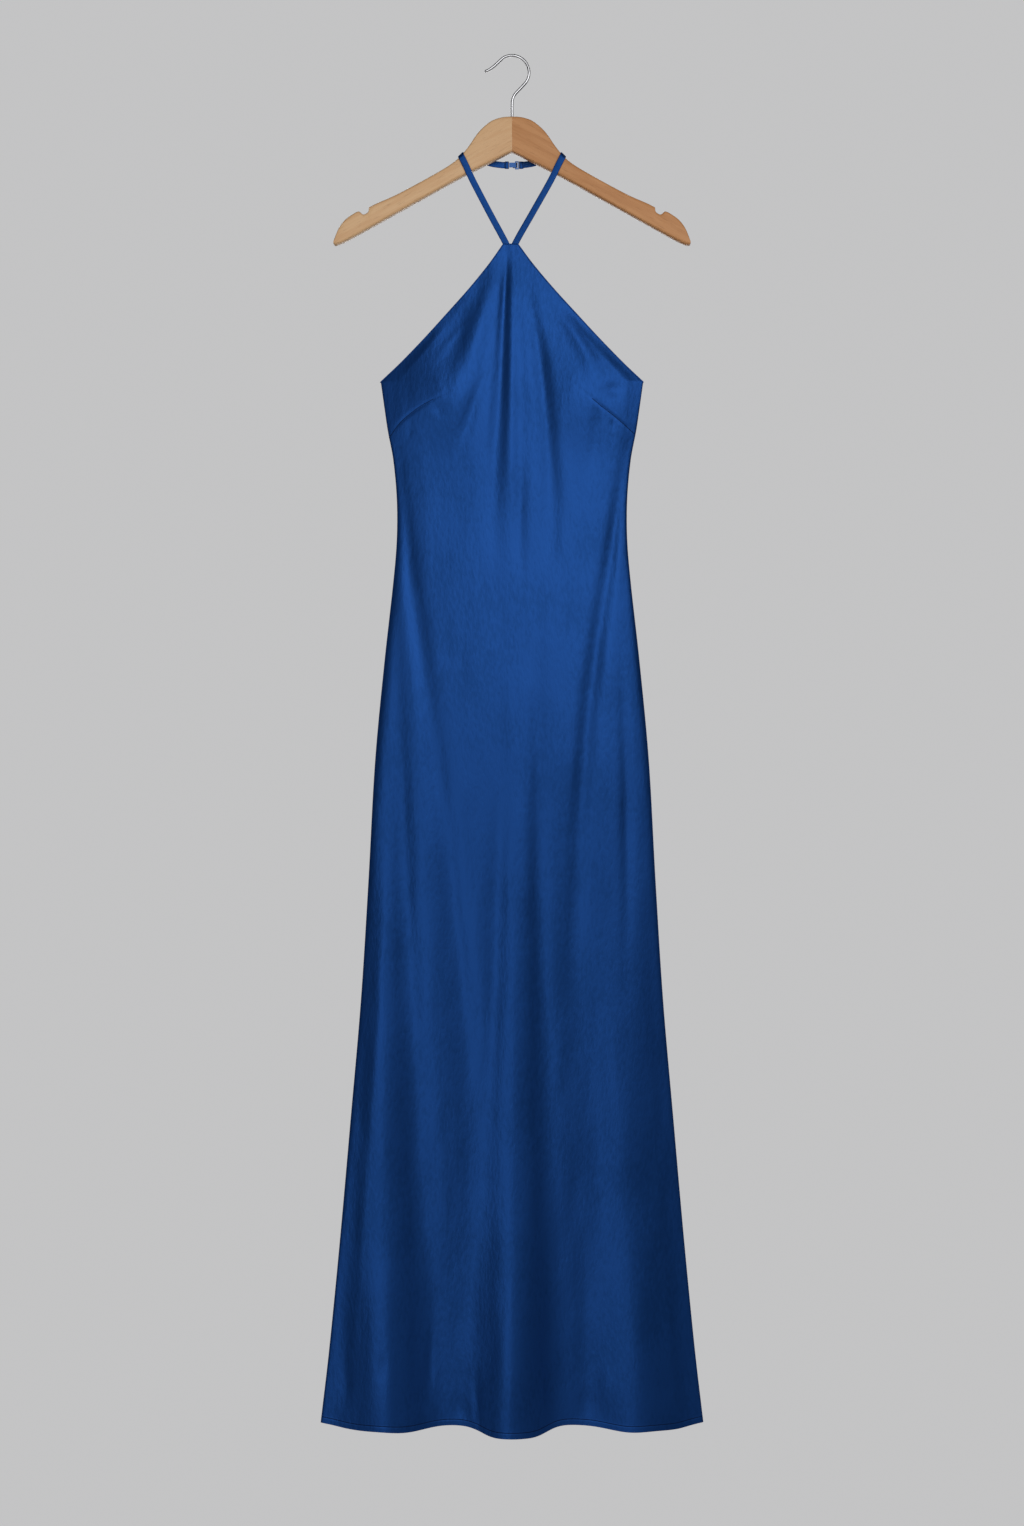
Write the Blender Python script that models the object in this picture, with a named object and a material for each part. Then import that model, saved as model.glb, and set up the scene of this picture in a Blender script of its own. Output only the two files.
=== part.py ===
"""Long halter dress in bias-cut satin, hanging on a two-piece wooden hanger with a wire hook.

Metres. +Z is up, the front of the dress faces -Y, and +X is the viewer's right.
The origin is the inside of the hook's crown, where the rail or peg that holds it bears.
The dress is a thin wall all round: a front and a back joined at two side seams, open at the
top, the armholes and the hem, with two narrow straps that meet behind the hanger.
"""

import math
from collections import namedtuple

import bmesh
import bpy
import numpy as np
from mathutils import Vector

# Driving dimensions of the dress
APEX_X = -0.0017
UNDERARM_Z = -0.4052
HEM_SIDE_Z = -1.7018
HEM_MIDDLE_Z = -1.7045
HEM_LOW_Z = -1.7160
BACK_DIP = 0.030
CLOTH = 0.0012
HEM_HEIGHT = 0.0080
HEM_STEP = 0.0006
HEM_CLOTH = 0.0020
SEAM_GAP = 0.0003
EDGE_POWER = 3.0
SIDE_CROWDING = 0.50
FOLD_FADE = 0.86

# Driving dimensions of the straps and the nape fastening
STRAP_WIDTH = 0.0080
STRAP_CLOTH = 0.0012
STRAP_SEAT = 0.0007
STRAP_LEAN = 0.325
TAB_WIDTH = 0.0092
TAB_CLOTH = 0.0026
NAPE_Y = 0.0135
NAPE_Z = -0.1316
NAPE_HOOK_METAL = 0.0008
NAPE_HOOK_HEIGHT = 0.0060
NAPE_BEND = 0.0017
NAPE_BAR_METAL = 0.0014

# Driving dimensions of the hanger
HALF_SPAN = 0.2210
ARM_SWEEP = 0.0150
ARM_THICKNESS = 0.0140
ARM_ROUNDING = 0.0038
MITRE_GAP = 0.0003
WIRE = 0.0036
HOOK_RADIUS = 0.0212
SHANK_FOOT_Z = -0.0990
GROOVE_GAP = 0.0003
GROOVE_FOOT_Z = -0.1000

# Half width of the dress and place of its edges, down the armholes and then the sides.
Outline = namedtuple("Outline", "z half_width edge_y")
TOP_OUTLINE = (
    Outline(-0.2347, 0.0089, -0.0060),
    Outline(-0.2590, 0.0263, -0.0070),
    Outline(-0.2900, 0.0518, -0.0074),
    Outline(-0.3210, 0.0799, -0.0066),
    Outline(-0.3520, 0.1086, -0.0052),
    Outline(-0.3830, 0.1392, -0.0028),
    Outline(UNDERARM_Z, 0.1636, 0.0015),
)
SIDE_OUTLINE = (
    Outline(UNDERARM_Z, 0.1636, 0.0015),
    Outline(-0.4400, 0.1587, 0.0015),
    Outline(-0.4650, 0.1550, 0.0020),
    Outline(-0.5020, 0.1481, 0.0030),
    Outline(-0.5520, 0.1437, 0.0042),
    Outline(-0.6020, 0.1439, 0.0054),
    Outline(-0.6520, 0.1481, 0.0066),
    Outline(-0.7520, 0.1593, 0.0078),
    Outline(-0.8760, 0.1710, 0.0080),
    Outline(-1.0260, 0.1794, 0.0080),
    Outline(-1.1750, 0.1888, 0.0080),
    Outline(-1.3250, 0.2018, 0.0080),
    Outline(-1.4750, 0.2151, 0.0080),
    Outline(-1.6120, 0.2286, 0.0080),
    Outline(HEM_SIDE_Z, 0.2391, 0.0080),
)
# Depth of the middle of the front and the back, and how far each rolls away at its sides.
Profile = namedtuple("Profile", "z front_y back_y roll")
PROFILE = (
    Profile(-0.2347, -0.0060, 0.0180, 0.00),
    Profile(-0.2900, -0.0085, 0.0180, 0.00),
    Profile(-0.3500, -0.0085, 0.0180, 0.30),
    Profile(-0.4200, -0.0082, 0.0186, 0.60),
    Profile(-0.5000, -0.0080, 0.0192, 0.75),
    Profile(-0.5800, -0.0075, 0.0192, 0.82),
    Profile(-0.6600, -0.0085, 0.0205, 0.86),
    Profile(-0.8000, -0.0112, 0.0238, 0.90),
    Profile(-0.9500, -0.0110, 0.0240, 0.90),
    Profile(-1.1000, -0.0085, 0.0230, 0.90),
    Profile(-1.2500, -0.0055, 0.0213, 0.90),
    Profile(-1.4000, -0.0030, 0.0190, 0.87),
    Profile(-1.5500, -0.0010, 0.0172, 0.82),
    Profile(-1.7100, 0.0000, 0.0160, 0.75),
)
# The fullness that the bust darts give.
Cup = namedtuple("Cup", "x z spread_x spread_z height")
CUPS = (
    Cup(-0.084, -0.424, 0.046, 0.056, 0.0085),
    Cup(0.098, -0.423, 0.056, 0.056, 0.0058),
)
# The hem's edge dips where a fold swings out.
HemDip = namedtuple("HemDip", "x drop spread")
HEM_DIPS = (
    HemDip(-0.152, 0.0035, 0.045),
    HemDip(0.003, 0.0105, 0.040),
    HemDip(0.157, 0.0035, 0.045),
)
# Each fold runs from its head through its middle to its foot. A negative depth is a hollow.
FOLD_COLUMNS = (
    "name head_x head_z middle_x middle_z foot_x foot_z "
    "head_spread foot_spread head_depth middle_depth foot_depth"
)
Fold = namedtuple("Fold", FOLD_COLUMNS)
FRONT_FOLDS = (
    Fold("middle hollow", -0.0065, -0.2490, -0.0135, -0.3600, -0.0320, -0.7000,
         0.0050, 0.0160, 0.0, -0.0036, 0.0),
    Fold("right hollow", 0.0150, -0.2600, 0.0410, -0.4300, 0.0480, -0.7000,
         0.0060, 0.0150, 0.0, -0.0036, 0.0),
    Fold("left cup fold", -0.0180, -0.2560, -0.0440, -0.3500, -0.0760, -0.4700,
         0.0080, 0.0280, 0.0, 0.0044, 0.0),
    Fold("left drag", -0.1500, -0.4900, -0.0700, -1.1000, -0.0340, -1.6000,
         0.0090, 0.0220, -0.0030, -0.0046, 0.0),
    Fold("right drag", 0.1480, -0.4900, 0.0920, -0.8500, 0.0860, -1.3500,
         0.0080, 0.0150, -0.0030, -0.0045, 0.0),
    Fold("left hem wave", -0.148, -0.900, -0.158, -1.350, -0.154, HEM_LOW_Z,
         0.026, 0.044, 0.0, 0.0080, 0.0220),
    Fold("middle hem wave", 0.016, -0.740, 0.006, -1.300, 0.001, HEM_LOW_Z,
         0.020, 0.044, 0.0, 0.0090, 0.0300),
    Fold("right hem wave", 0.130, -0.900, 0.146, -1.350, 0.160, HEM_LOW_Z,
         0.026, 0.046, 0.0, 0.0080, 0.0220),
)

BACK_FOLDS = (
    Fold("waist left", -0.052, -0.470, -0.058, -0.620, -0.070, -0.900,
         0.018, 0.030, 0.0, 0.0035, 0.0),
    Fold("waist right", 0.060, -0.470, 0.054, -0.640, 0.058, -0.920,
         0.018, 0.030, 0.0, 0.0035, 0.0),
    Fold("left hem wave", -0.120, -0.760, -0.118, -1.280, -0.112, HEM_LOW_Z,
         0.020, 0.040, 0.0, 0.0080, 0.0160),
    Fold("middle hem wave", -0.020, -0.760, -0.015, -1.280, -0.008, HEM_LOW_Z,
         0.024, 0.042, 0.0, 0.0090, 0.0190),
    Fold("right hem wave", 0.092, -0.760, 0.102, -1.280, 0.116, HEM_LOW_Z,
         0.020, 0.040, 0.0, 0.0080, 0.0160),
)

# The strap's front run, then its run behind the hanger, for the left strap.
StrapPoint = namedtuple("StrapPoint", "x y z")
STRAP_FRONT = (
    StrapPoint(-0.0049, -0.0038, -0.2460),
    StrapPoint(-0.0051, -0.0039, -0.2400),
    StrapPoint(-0.0060, -0.0042, -0.2330),
    StrapPoint(-0.0270, -0.0074, -0.1955),
    StrapPoint(-0.0480, -0.0107, -0.1575),
)
STRAP_BACK = (
    StrapPoint(-0.0400, 0.0080, -0.1262),
    StrapPoint(-0.0260, 0.0112, -0.1300),
    StrapPoint(-0.0140, 0.0130, -0.1314),
)
STRAP_CROSSING_X = -0.0642
STRAP_EDGE_SLOPE = math.radians(45.0)
STRAP_HOLD_DEPTH = 0.0130
LEFT_TAB = (-0.0092, -0.0039)
RIGHT_TAB = (0.0142, 0.0087)

# Outline of one hanger half, from the mitre out to the rounded end.
ArmStation = namedtuple("ArmStation", "x top bottom")
ARM = (
    ArmStation(0.0000, -0.0753, -0.1190),
    ArmStation(0.0075, -0.0757, -0.1226),
    ArmStation(0.0149, -0.0770, -0.1264),
    ArmStation(0.0256, -0.0812, -0.1320),
    ArmStation(0.0362, -0.0897, -0.1375),
    ArmStation(0.0439, -0.0984, -0.1416),
    ArmStation(0.0529, -0.1118, -0.1462),
    ArmStation(0.0621, -0.1236, -0.1511),
    ArmStation(0.0690, -0.1305, -0.1550),
    ArmStation(0.0802, -0.1388, -0.1613),
    ArmStation(0.0984, -0.1498, -0.1718),
    ArmStation(0.1228, -0.1637, -0.1858),
    ArmStation(0.1469, -0.1766, -0.1996),
    ArmStation(0.1772, -0.1910, -0.2170),
    ArmStation(0.1777, -0.1950, -0.2173),
    ArmStation(0.1792, -0.1976, -0.2181),
    ArmStation(0.1846, -0.2000, -0.2212),
    ArmStation(0.1898, -0.1963, -0.2242),
    ArmStation(0.1983, -0.2005, -0.2290),
    ArmStation(0.2073, -0.2075, -0.2338),
    ArmStation(0.2145, -0.2172, -0.2370),
    ArmStation(0.2190, -0.2278, -0.2382),
    ArmStation(0.2210, -0.2340, -0.2370),
)

# The hook's wire from its flared tip to the start of the crown's arc, and down its neck.
WirePoint = namedtuple("WirePoint", "x z")
HOOK_TIP = (
    WirePoint(-0.0325, -0.0179),
    WirePoint(-0.0290, -0.0163),
    WirePoint(-0.0235, -0.0125),
    WirePoint(-0.0170, -0.0066),
)
HOOK_NECK = (
    WirePoint(0.0098, -0.0400),
    WirePoint(0.0040, -0.0462),
    WirePoint(0.0009, -0.0520),
    WirePoint(0.0000, -0.0590),
    WirePoint(0.0000, -0.0790),
    WirePoint(0.0000, SHANK_FOOT_Z),
)
CROWN_ANGLES = (122.0, -40.0)

SATIN_BLUE = (33, 71, 133)
METAL_BLUE = (120, 140, 175)
BEECH_LIGHT = (210, 170, 128)
BEECH_DARK = (193, 141, 98)
CHROME = (200, 200, 204)


def clear_scene():
    for item in list(bpy.data.objects):
        bpy.data.objects.remove(item)


def linear(colour):
    """An 8-bit display colour as the linear values that a shader takes."""
    shares = [channel / 255 for channel in colour]
    return [s / 12.92 if s <= 0.04045 else ((s + 0.055) / 1.055) ** 2.4 for s in shares]


def make_material(name, colour, roughness, metallic):
    material = bpy.data.materials.new(name)
    material.use_nodes = True
    shader = material.node_tree.nodes["Principled BSDF"]
    shader.inputs["Base Color"].default_value = (*linear(colour), 1.0)
    shader.inputs["Roughness"].default_value = roughness
    shader.inputs["Metallic"].default_value = metallic
    return material


def add_body(name, points, faces, material):
    """A closed body as an object, its faces turned outwards and its round parts smooth."""
    mesh = bpy.data.meshes.new(name)
    mesh.from_pydata([tuple(map(float, p)) for p in points], [], faces)
    shape = bmesh.new()
    shape.from_mesh(mesh)
    bmesh.ops.recalc_face_normals(shape, faces=shape.faces)
    shape.to_mesh(mesh)
    shape.free()
    mesh.shade_smooth()
    mesh.set_sharp_from_angle(angle=math.radians(50))
    mesh.materials.append(material)
    body = bpy.data.objects.new(name, mesh)
    bpy.context.scene.collection.objects.link(body)
    return body


def smooth_step(low, high, value):
    share = min(max((value - low) / (high - low), 0.0), 1.0)
    return share * share * (3 - 2 * share)


def read_table(rows, z):
    """The row of a table of falling z at this height, on a smooth curve through its rows."""
    last = len(rows) - 1
    place = next((i for i in range(last) if z >= rows[i + 1].z), last - 1)
    a, b = rows[place], rows[place + 1]
    before = rows[max(place - 1, 0)]
    after = rows[min(place + 2, last)]
    share = min(max((z - a.z) / (b.z - a.z), 0.0), 1.0)
    step = b.z - a.z
    values = []
    for p, q, r, s in zip(before, a, b, after):
        rise_in = (r - p) / (b.z - before.z) * step
        rise_out = (s - q) / (after.z - a.z) * step
        cube, square = share**3, share**2
        values.append(
            (2 * cube - 3 * square + 1) * q
            + (cube - 2 * square + share) * rise_in
            + (3 * square - 2 * cube) * r
            + (cube - square) * rise_out
        )
    return type(a)(*values)


def fold_depth(fold, x, z):
    """How far one fold lifts the cloth here: a soft ridge that follows the fold's line."""
    head_z, middle_z, foot_z = fold.head_z, fold.middle_z, fold.foot_z
    if z > head_z or z < foot_z - HEM_HEIGHT:
        return 0.0
    to_head = (z - middle_z) * (z - foot_z) / ((head_z - middle_z) * (head_z - foot_z))
    to_middle = (z - head_z) * (z - foot_z) / ((middle_z - head_z) * (middle_z - foot_z))
    to_foot = (z - head_z) * (z - middle_z) / ((foot_z - head_z) * (foot_z - middle_z))
    line = to_head * fold.head_x + to_middle * fold.middle_x + to_foot * fold.foot_x
    along = (head_z - z) / (head_z - foot_z)
    spread = fold.head_spread + (fold.foot_spread - fold.head_spread) * along
    if z > middle_z:
        share = smooth_step(head_z, middle_z, z)
        depth = fold.head_depth + (fold.middle_depth - fold.head_depth) * share
    else:
        share = smooth_step(middle_z, foot_z, z)
        depth = fold.middle_depth + (fold.foot_depth - fold.middle_depth) * share
    return depth * math.exp(-(((x - line) / spread) ** 2))


def cup_height(x, z):
    """The soft fullness that each bust dart gives."""
    return sum(
        cup.height
        * math.exp(-(((x - cup.x) / cup.spread_x) ** 2) - ((z - cup.z) / cup.spread_z) ** 2)
        for cup in CUPS
    )


def across(u, roll):
    """The panel's bulge at a share u of its half width: flat in the middle, rolled at the sides."""
    fall = max(1.0 - abs(u) ** EDGE_POWER, 0.0)
    return fall ** (1.0 - roll * (1.0 - 1.0 / EDGE_POWER))


def hem_z(u):
    """Height of the hem's edge at a share u of the half width."""
    x = SIDE_OUTLINE[-1].half_width * u
    dip = sum(row.drop * math.exp(-(((x - row.x) / row.spread) ** 2)) for row in HEM_DIPS)
    return HEM_MIDDLE_Z + (HEM_SIDE_Z - HEM_MIDDLE_Z) * u * u - dip


def front_point(u, drop, in_bodice):
    """A point of the front's outer face. drop runs 0 to 1 down the bodice, or down the skirt."""
    fade = 1.0 - smooth_step(FOLD_FADE, 1.0, abs(u))
    if in_bodice:
        z = TOP_OUTLINE[0].z + (UNDERARM_Z - TOP_OUTLINE[0].z) * drop
        edge = read_table(TOP_OUTLINE, z)
        x = edge.half_width * u + APEX_X * (1.0 - drop) ** 2
    else:
        z = UNDERARM_Z + (hem_z(u) - UNDERARM_Z) * drop
        edge = read_table(SIDE_OUTLINE, UNDERARM_Z + (HEM_SIDE_Z - UNDERARM_Z) * drop)
        x = edge.half_width * u
    middle = read_table(PROFILE, z)
    lift = (edge.edge_y - middle.front_y) * across(u, middle.roll) + cup_height(x, z) * fade
    lift += sum(fold_depth(fold, x, z) for fold in FRONT_FOLDS) * fade
    return (x, edge.edge_y - SEAM_GAP / 2 - lift, z)


def back_point(u, drop):
    """A point of the back's outer face, from its dipped top edge down to the hem."""
    top = UNDERARM_Z - BACK_DIP * (1.0 - u * u) ** 1.5
    z = top + (hem_z(u) - top) * drop
    edge = read_table(SIDE_OUTLINE, top + (HEM_SIDE_Z - top) * drop)
    middle = read_table(PROFILE, z)
    x = edge.half_width * u
    fade = 1.0 - smooth_step(FOLD_FADE, 1.0, abs(u))
    lift = (middle.back_y - edge.edge_y) * across(u, middle.roll)
    lift += sum(fold_depth(fold, x, z) for fold in BACK_FOLDS) * fade
    return (x, edge.edge_y + SEAM_GAP / 2 + lift, z)


def column_shares(count):
    """Shares of the half width from -1 to 1, closer together where the cloth rolls away."""
    shares = []
    for i in range(count + 1):
        even = 2.0 * i / count - 1.0
        shares.append(
            SIDE_CROWDING * math.sin(even * math.pi / 2) + (1.0 - SIDE_CROWDING) * even
        )
    return shares


def skirt_drops(count, length):
    """Row heights as shares of the length, with three close rows for the turned hem."""
    last = 1.0 - (HEM_HEIGHT + HEM_STEP) / length
    drops = [last * i / count for i in range(count + 1)]
    return drops + [1.0 - HEM_HEIGHT / length, 1.0]


def cloth_wall(name, outer, inward_sign, seam_rows, material):
    """A thin closed wall on a grid of outer points. seam_rows end flat against the other panel."""
    grid = np.array(outer, float)
    rows, columns = grid.shape[:2]
    inward = np.cross(np.gradient(grid, axis=1), np.gradient(grid, axis=0)) * inward_sign
    inward /= np.linalg.norm(inward, axis=2, keepdims=True)
    for row in seam_rows:
        inward[row, 0] = (1.0, 0.0, 0.0)
        inward[row, -1] = (-1.0, 0.0, 0.0)
    walls = np.full(rows, CLOTH)
    walls[-2:] = HEM_CLOTH
    inner = grid + inward * walls[:, None, None]
    points = np.concatenate([grid.reshape(-1, 3), inner.reshape(-1, 3)])
    shift = rows * columns
    faces = []
    for i in range(rows - 1):
        for j in range(columns - 1):
            a, b = i * columns + j, i * columns + j + 1
            c, d = b + columns, a + columns
            halves = [(a, b, c), (a, c, d)] if j < columns // 2 else [(a, b, d), (b, c, d)]
            faces += halves
            faces += [tuple(reversed([k + shift for k in half])) for half in halves]
    edge = [j for j in range(columns)]
    edge += [i * columns + columns - 1 for i in range(1, rows)]
    edge += [(rows - 1) * columns + j for j in range(columns - 2, -1, -1)]
    edge += [i * columns for i in range(rows - 2, 0, -1)]
    for a, b in zip(edge, edge[1:] + edge[:1]):
        faces.append((a, b, b + shift, a + shift))
    return add_body(name, points, faces, material)


def add_front(material):
    shares = column_shares(42)
    bodice = [[front_point(u, i / 8, True) for u in shares] for i in range(8)]
    drops = skirt_drops(30, UNDERARM_Z - HEM_SIDE_Z)
    skirt = [[front_point(u, drop, False) for u in shares] for drop in drops]
    seam_rows = range(len(bodice), len(bodice) + len(skirt))
    return cloth_wall("front_panel", bodice + skirt, 1.0, seam_rows, material)


def add_back(material):
    shares = column_shares(20)
    drops = skirt_drops(27, UNDERARM_Z - HEM_SIDE_Z)
    grid = [[back_point(u, drop) for u in shares] for drop in drops]
    return cloth_wall("back_panel", grid, -1.0, range(len(grid)), material)


def curve_through(points, steps):
    """Points along a smooth curve through the given ones, each of which it keeps."""
    points = [Vector(p) for p in points]
    padded = [2 * points[0] - points[1], *points, 2 * points[-1] - points[-2]]
    found = []
    for a, b, c, d in zip(padded, padded[1:], padded[2:], padded[3:]):
        for k in range(steps):
            t = k / steps
            found.append(
                0.5
                * (
                    2 * b
                    + (c - a) * t
                    + (2 * a - 5 * b + 4 * c - d) * t * t
                    + (3 * b - a - 3 * c + d) * t**3
                )
            )
    return found + [points[-1]]


def arm_middle_y(x):
    """The hanger's arms sweep forward evenly from the mitre."""
    return -ARM_SWEEP * abs(x) / HALF_SPAN


def arm_top(x):
    """Height of the arm's top edge, straight between its stations."""
    for a, b in zip(ARM, ARM[1:]):
        if x <= b.x:
            return a.top + (b.top - a.top) * (x - a.x) / (b.x - a.x)
    return ARM[-1].top


def strap_wrap():
    """Centre points and faces of the left strap where it lies over the hanger's arm.

    Across the arm's top edge the strap keeps a straight line on the unrolled surface, so it
    leans along the edge as it goes over, and leaves at the mirrored angle behind.
    """
    sweep = ARM_SWEEP / HALF_SPAN
    inwards = Vector((1.0, sweep, 0.0)).normalized()
    back = Vector((-sweep, 1.0, 0.0)).normalized()
    up = Vector((0.0, 0.0, 1.0))
    along = inwards * math.cos(STRAP_EDGE_SLOPE) + up * math.sin(STRAP_EDGE_SLOPE)
    out = up * math.cos(STRAP_EDGE_SLOPE) - inwards * math.sin(STRAP_EDGE_SLOPE)
    crossing_x = abs(STRAP_CROSSING_X)
    middle = Vector((STRAP_CROSSING_X, arm_middle_y(crossing_x), arm_top(crossing_x)))
    lift = STRAP_SEAT + STRAP_CLOTH / 2
    half = ARM_THICKNESS / 2
    round_out = ARM_ROUNDING * math.cos(STRAP_EDGE_SLOPE)
    bend_out, bend_back = round_out + lift, ARM_ROUNDING + lift
    flat = 2 * (half - ARM_ROUNDING)
    quarter = (bend_out + bend_back) * math.pi / 4
    stops = [(-STRAP_HOLD_DEPTH, -half - lift, -back, -STRAP_HOLD_DEPTH)]
    for side, first, last in ((-1.0, 0, 90), (1.0, 90, 0)):
        for k in range(4):
            degrees = first + (last - first) * k / 3
            turn = math.radians(degrees)
            face = out * math.sin(turn) / bend_out + back * side * math.cos(turn) / bend_back
            rise = bend_out * math.sin(turn) - round_out
            depth = side * (flat / 2 + bend_back * math.cos(turn))
            run = quarter * degrees / 90 - round_out
            if side > 0:
                run = 2 * quarter + flat - quarter * degrees / 90 - round_out
            stops.append((rise, depth, face.normalized(), run))
    return [
        (middle + out * rise + back * depth + along * run * STRAP_LEAN, face)
        for rise, depth, face, run in stops
    ]


def ribbon(name, stations, material):
    """A flat strap through (centre, face, width, thickness) stations, closed at its ends."""
    points, faces = [], []
    last = len(stations) - 1
    for i, (centre, face, width, thick) in enumerate(stations):
        ahead = stations[min(i + 1, last)][0] - stations[max(i - 1, 0)][0]
        side = face.cross(ahead).normalized()
        face = ahead.cross(side).normalized()
        for w, t in ((-0.5, -0.5), (0.5, -0.5), (0.5, 0.5), (-0.5, 0.5)):
            points.append(centre + side * w * width + face * t * thick)
    for i in range(last):
        for k in range(4):
            a, b = 4 * i + k, 4 * i + (k + 1) % 4
            faces.append((a, b, b + 4, a + 4))
    faces.append((3, 2, 1, 0))
    faces.append(tuple(range(4 * last, 4 * last + 4)))
    return add_body(name, points, faces, material)


def strap_stations(side, tab):
    """Stations of one strap, from behind the apex, over the hanger, to its folded end."""
    front = Vector((0.0, -1.0, 0.0))
    wrap = strap_wrap()
    rising = [Vector(p) for p in STRAP_FRONT] + [wrap[0][0], wrap[1][0]]
    stations = [(p, front) for p in curve_through(rising, 2)[:-1]]
    stations += wrap[1:]
    behind = [wrap[-1][0]] + [Vector(p) for p in STRAP_BACK]
    behind.append(Vector((tab[0] * side * -1.0, NAPE_Y, NAPE_Z)))
    stations += [(p, -front) for p in curve_through(behind, 3)[1:]]
    made = []
    apex_z, hanger_z = TOP_OUTLINE[0].z, arm_top(abs(STRAP_CROSSING_X))
    for centre, face in stations:
        shift = 0.0
        if face.y < 0:
            shift = APEX_X * (1.0 - smooth_step(apex_z, hanger_z, centre.z))
        place = Vector((centre.x * -side + shift, centre.y, centre.z))
        turned = Vector((face.x * -side, face.y, face.z))
        made.append((place, turned, STRAP_WIDTH, STRAP_CLOTH))
    facing = Vector((0.0, 1.0, 0.0))
    step = Vector((math.copysign(HEM_STEP, tab[1] - tab[0]), 0.0, 0.0))
    start = Vector((tab[0], NAPE_Y, NAPE_Z))
    made.append((start + step, facing, TAB_WIDTH, TAB_CLOTH))
    made.append((Vector((tab[1], NAPE_Y, NAPE_Z)), facing, TAB_WIDTH, TAB_CLOTH))
    return made


def add_straps(material):
    ribbon("strap_left", strap_stations(-1.0, LEFT_TAB), material)
    ribbon("strap_right", strap_stations(1.0, RIGHT_TAB), material)


def extrude_outline(name, outline, low, high, axis, material):
    """A flat outline made solid between two places along an axis, 1 for Y or 2 for Z."""
    points = []
    for level in (low, high):
        for p, q in outline:
            points.append((p, level, q) if axis == 1 else (p, q, level))
    n = len(outline)
    faces = [tuple(range(n)), tuple(range(2 * n - 1, n - 1, -1))]
    faces += [(k, (k + 1) % n, (k + 1) % n + n, k + n) for k in range(n)]
    return add_body(name, points, faces, material)


def add_nape_hook(material):
    """A strip of metal bent back round the bar, its plate against the left strap's end."""
    plate_y = NAPE_Y - NAPE_BEND / 2
    bend_x = RIGHT_TAB[1] - 3 * NAPE_BAR_METAL
    half = NAPE_HOOK_METAL / 2
    start_x = LEFT_TAB[1] + SEAM_GAP
    turns = [math.radians(-90 + 180 * k / 8) for k in range(9)]
    bend_y = plate_y + NAPE_BEND

    def arc(radius):
        return [
            (bend_x + radius * math.cos(t), bend_y + radius * math.sin(t)) for t in turns
        ]

    tongue_x = bend_x - 2 * NAPE_BEND
    outline = [(start_x, plate_y - half)] + arc(NAPE_BEND + half)
    outline += [(tongue_x, bend_y + NAPE_BEND + half), (tongue_x, bend_y + NAPE_BEND - half)]
    outline += list(reversed(arc(NAPE_BEND - half))) + [(start_x, plate_y + half)]
    low = NAPE_Z - NAPE_HOOK_HEIGHT / 2
    extrude_outline("nape_hook", outline, low, low + NAPE_HOOK_HEIGHT, 2, material)


def add_nape_bar(material):
    """A flat metal loop: the hook holds its left side, and the right strap's end its right."""
    metal = NAPE_BAR_METAL
    middle_y = NAPE_Y + NAPE_BEND / 2
    right = RIGHT_TAB[1] - SEAM_GAP
    left = RIGHT_TAB[1] - 3.5 * metal
    window = (left + metal, right - 0.9 * metal)
    outer_half, inner_half = TAB_WIDTH / 2 + 0.0004, NAPE_HOOK_HEIGHT / 2 + 0.0007
    corners = ((left, right, outer_half), (*window, inner_half))
    points = []
    for depth in (-metal / 2, metal / 2):
        for low, high, half in corners:
            for x, z in ((low, -half), (high, -half), (high, half), (low, half)):
                points.append((x, middle_y + depth, NAPE_Z + z))
    faces = []
    for k in range(4):
        n = (k + 1) % 4
        faces += [(k, n, n + 4, k + 4), (k + 8, k + 12, n + 12, n + 8)]
        faces += [(k, k + 8, n + 8, n), (k + 4, n + 4, n + 12, k + 12)]
    add_body("nape_bar", points, faces, material)


def arm_ring(station, side):
    """A cross-section of the arm: a rounded rectangle in the plane of its station."""
    half = ARM_THICKNESS / 2
    height = station.top - station.bottom
    rounding = min(ARM_ROUNDING, 0.45 * height)
    middle_y = arm_middle_y(station.x)
    x = side * max(station.x, MITRE_GAP / 2)
    corners = (
        (half - rounding, station.top - rounding, 0),
        (-half + rounding, station.top - rounding, 90),
        (-half + rounding, station.bottom + rounding, 180),
        (half - rounding, station.bottom + rounding, 270),
    )
    ring = []
    for y, z, first in corners:
        for degrees in (first, first + 45, first + 90):
            turn = math.radians(degrees)
            y_out = y + rounding * math.cos(turn)
            ring.append((x, middle_y + y_out, z + rounding * math.sin(turn)))
    return ring


def loft(name, rings, material):
    """A closed body through rings of equally many points, with flat ends."""
    n = len(rings[0])
    points = [p for ring in rings for p in ring]
    faces = []
    for i in range(len(rings) - 1):
        for k in range(n):
            a, b = n * i + k, n * i + (k + 1) % n
            faces.append((a, b, b + n, a + n))
    faces.append(tuple(range(n - 1, -1, -1)))
    faces.append(tuple(range(len(points) - n, len(points))))
    return add_body(name, points, faces, material)


def shank_groove():
    """The cutter that leaves half of the shank's hole in each mitred face."""
    bpy.ops.mesh.primitive_cylinder_add(
        vertices=16,
        radius=WIRE / 2 + GROOVE_GAP,
        depth=0.0400,
        location=(0.0, 0.0, GROOVE_FOOT_Z + 0.0200),
    )
    cutter = bpy.context.object
    cutter.name = "shank_groove"
    cutter.hide_render = True
    cutter.display_type = "WIRE"
    return cutter


def add_hanger_arms(light, dark):
    cutter = shank_groove()
    for name, side, material in (
        ("hanger_arm_left", -1.0, light),
        ("hanger_arm_right", 1.0, dark),
    ):
        arm = loft(name, [arm_ring(station, side) for station in ARM], material)
        cut = arm.modifiers.new("shank groove", "BOOLEAN")
        cut.operation = "DIFFERENCE"
        cut.object = cutter


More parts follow.
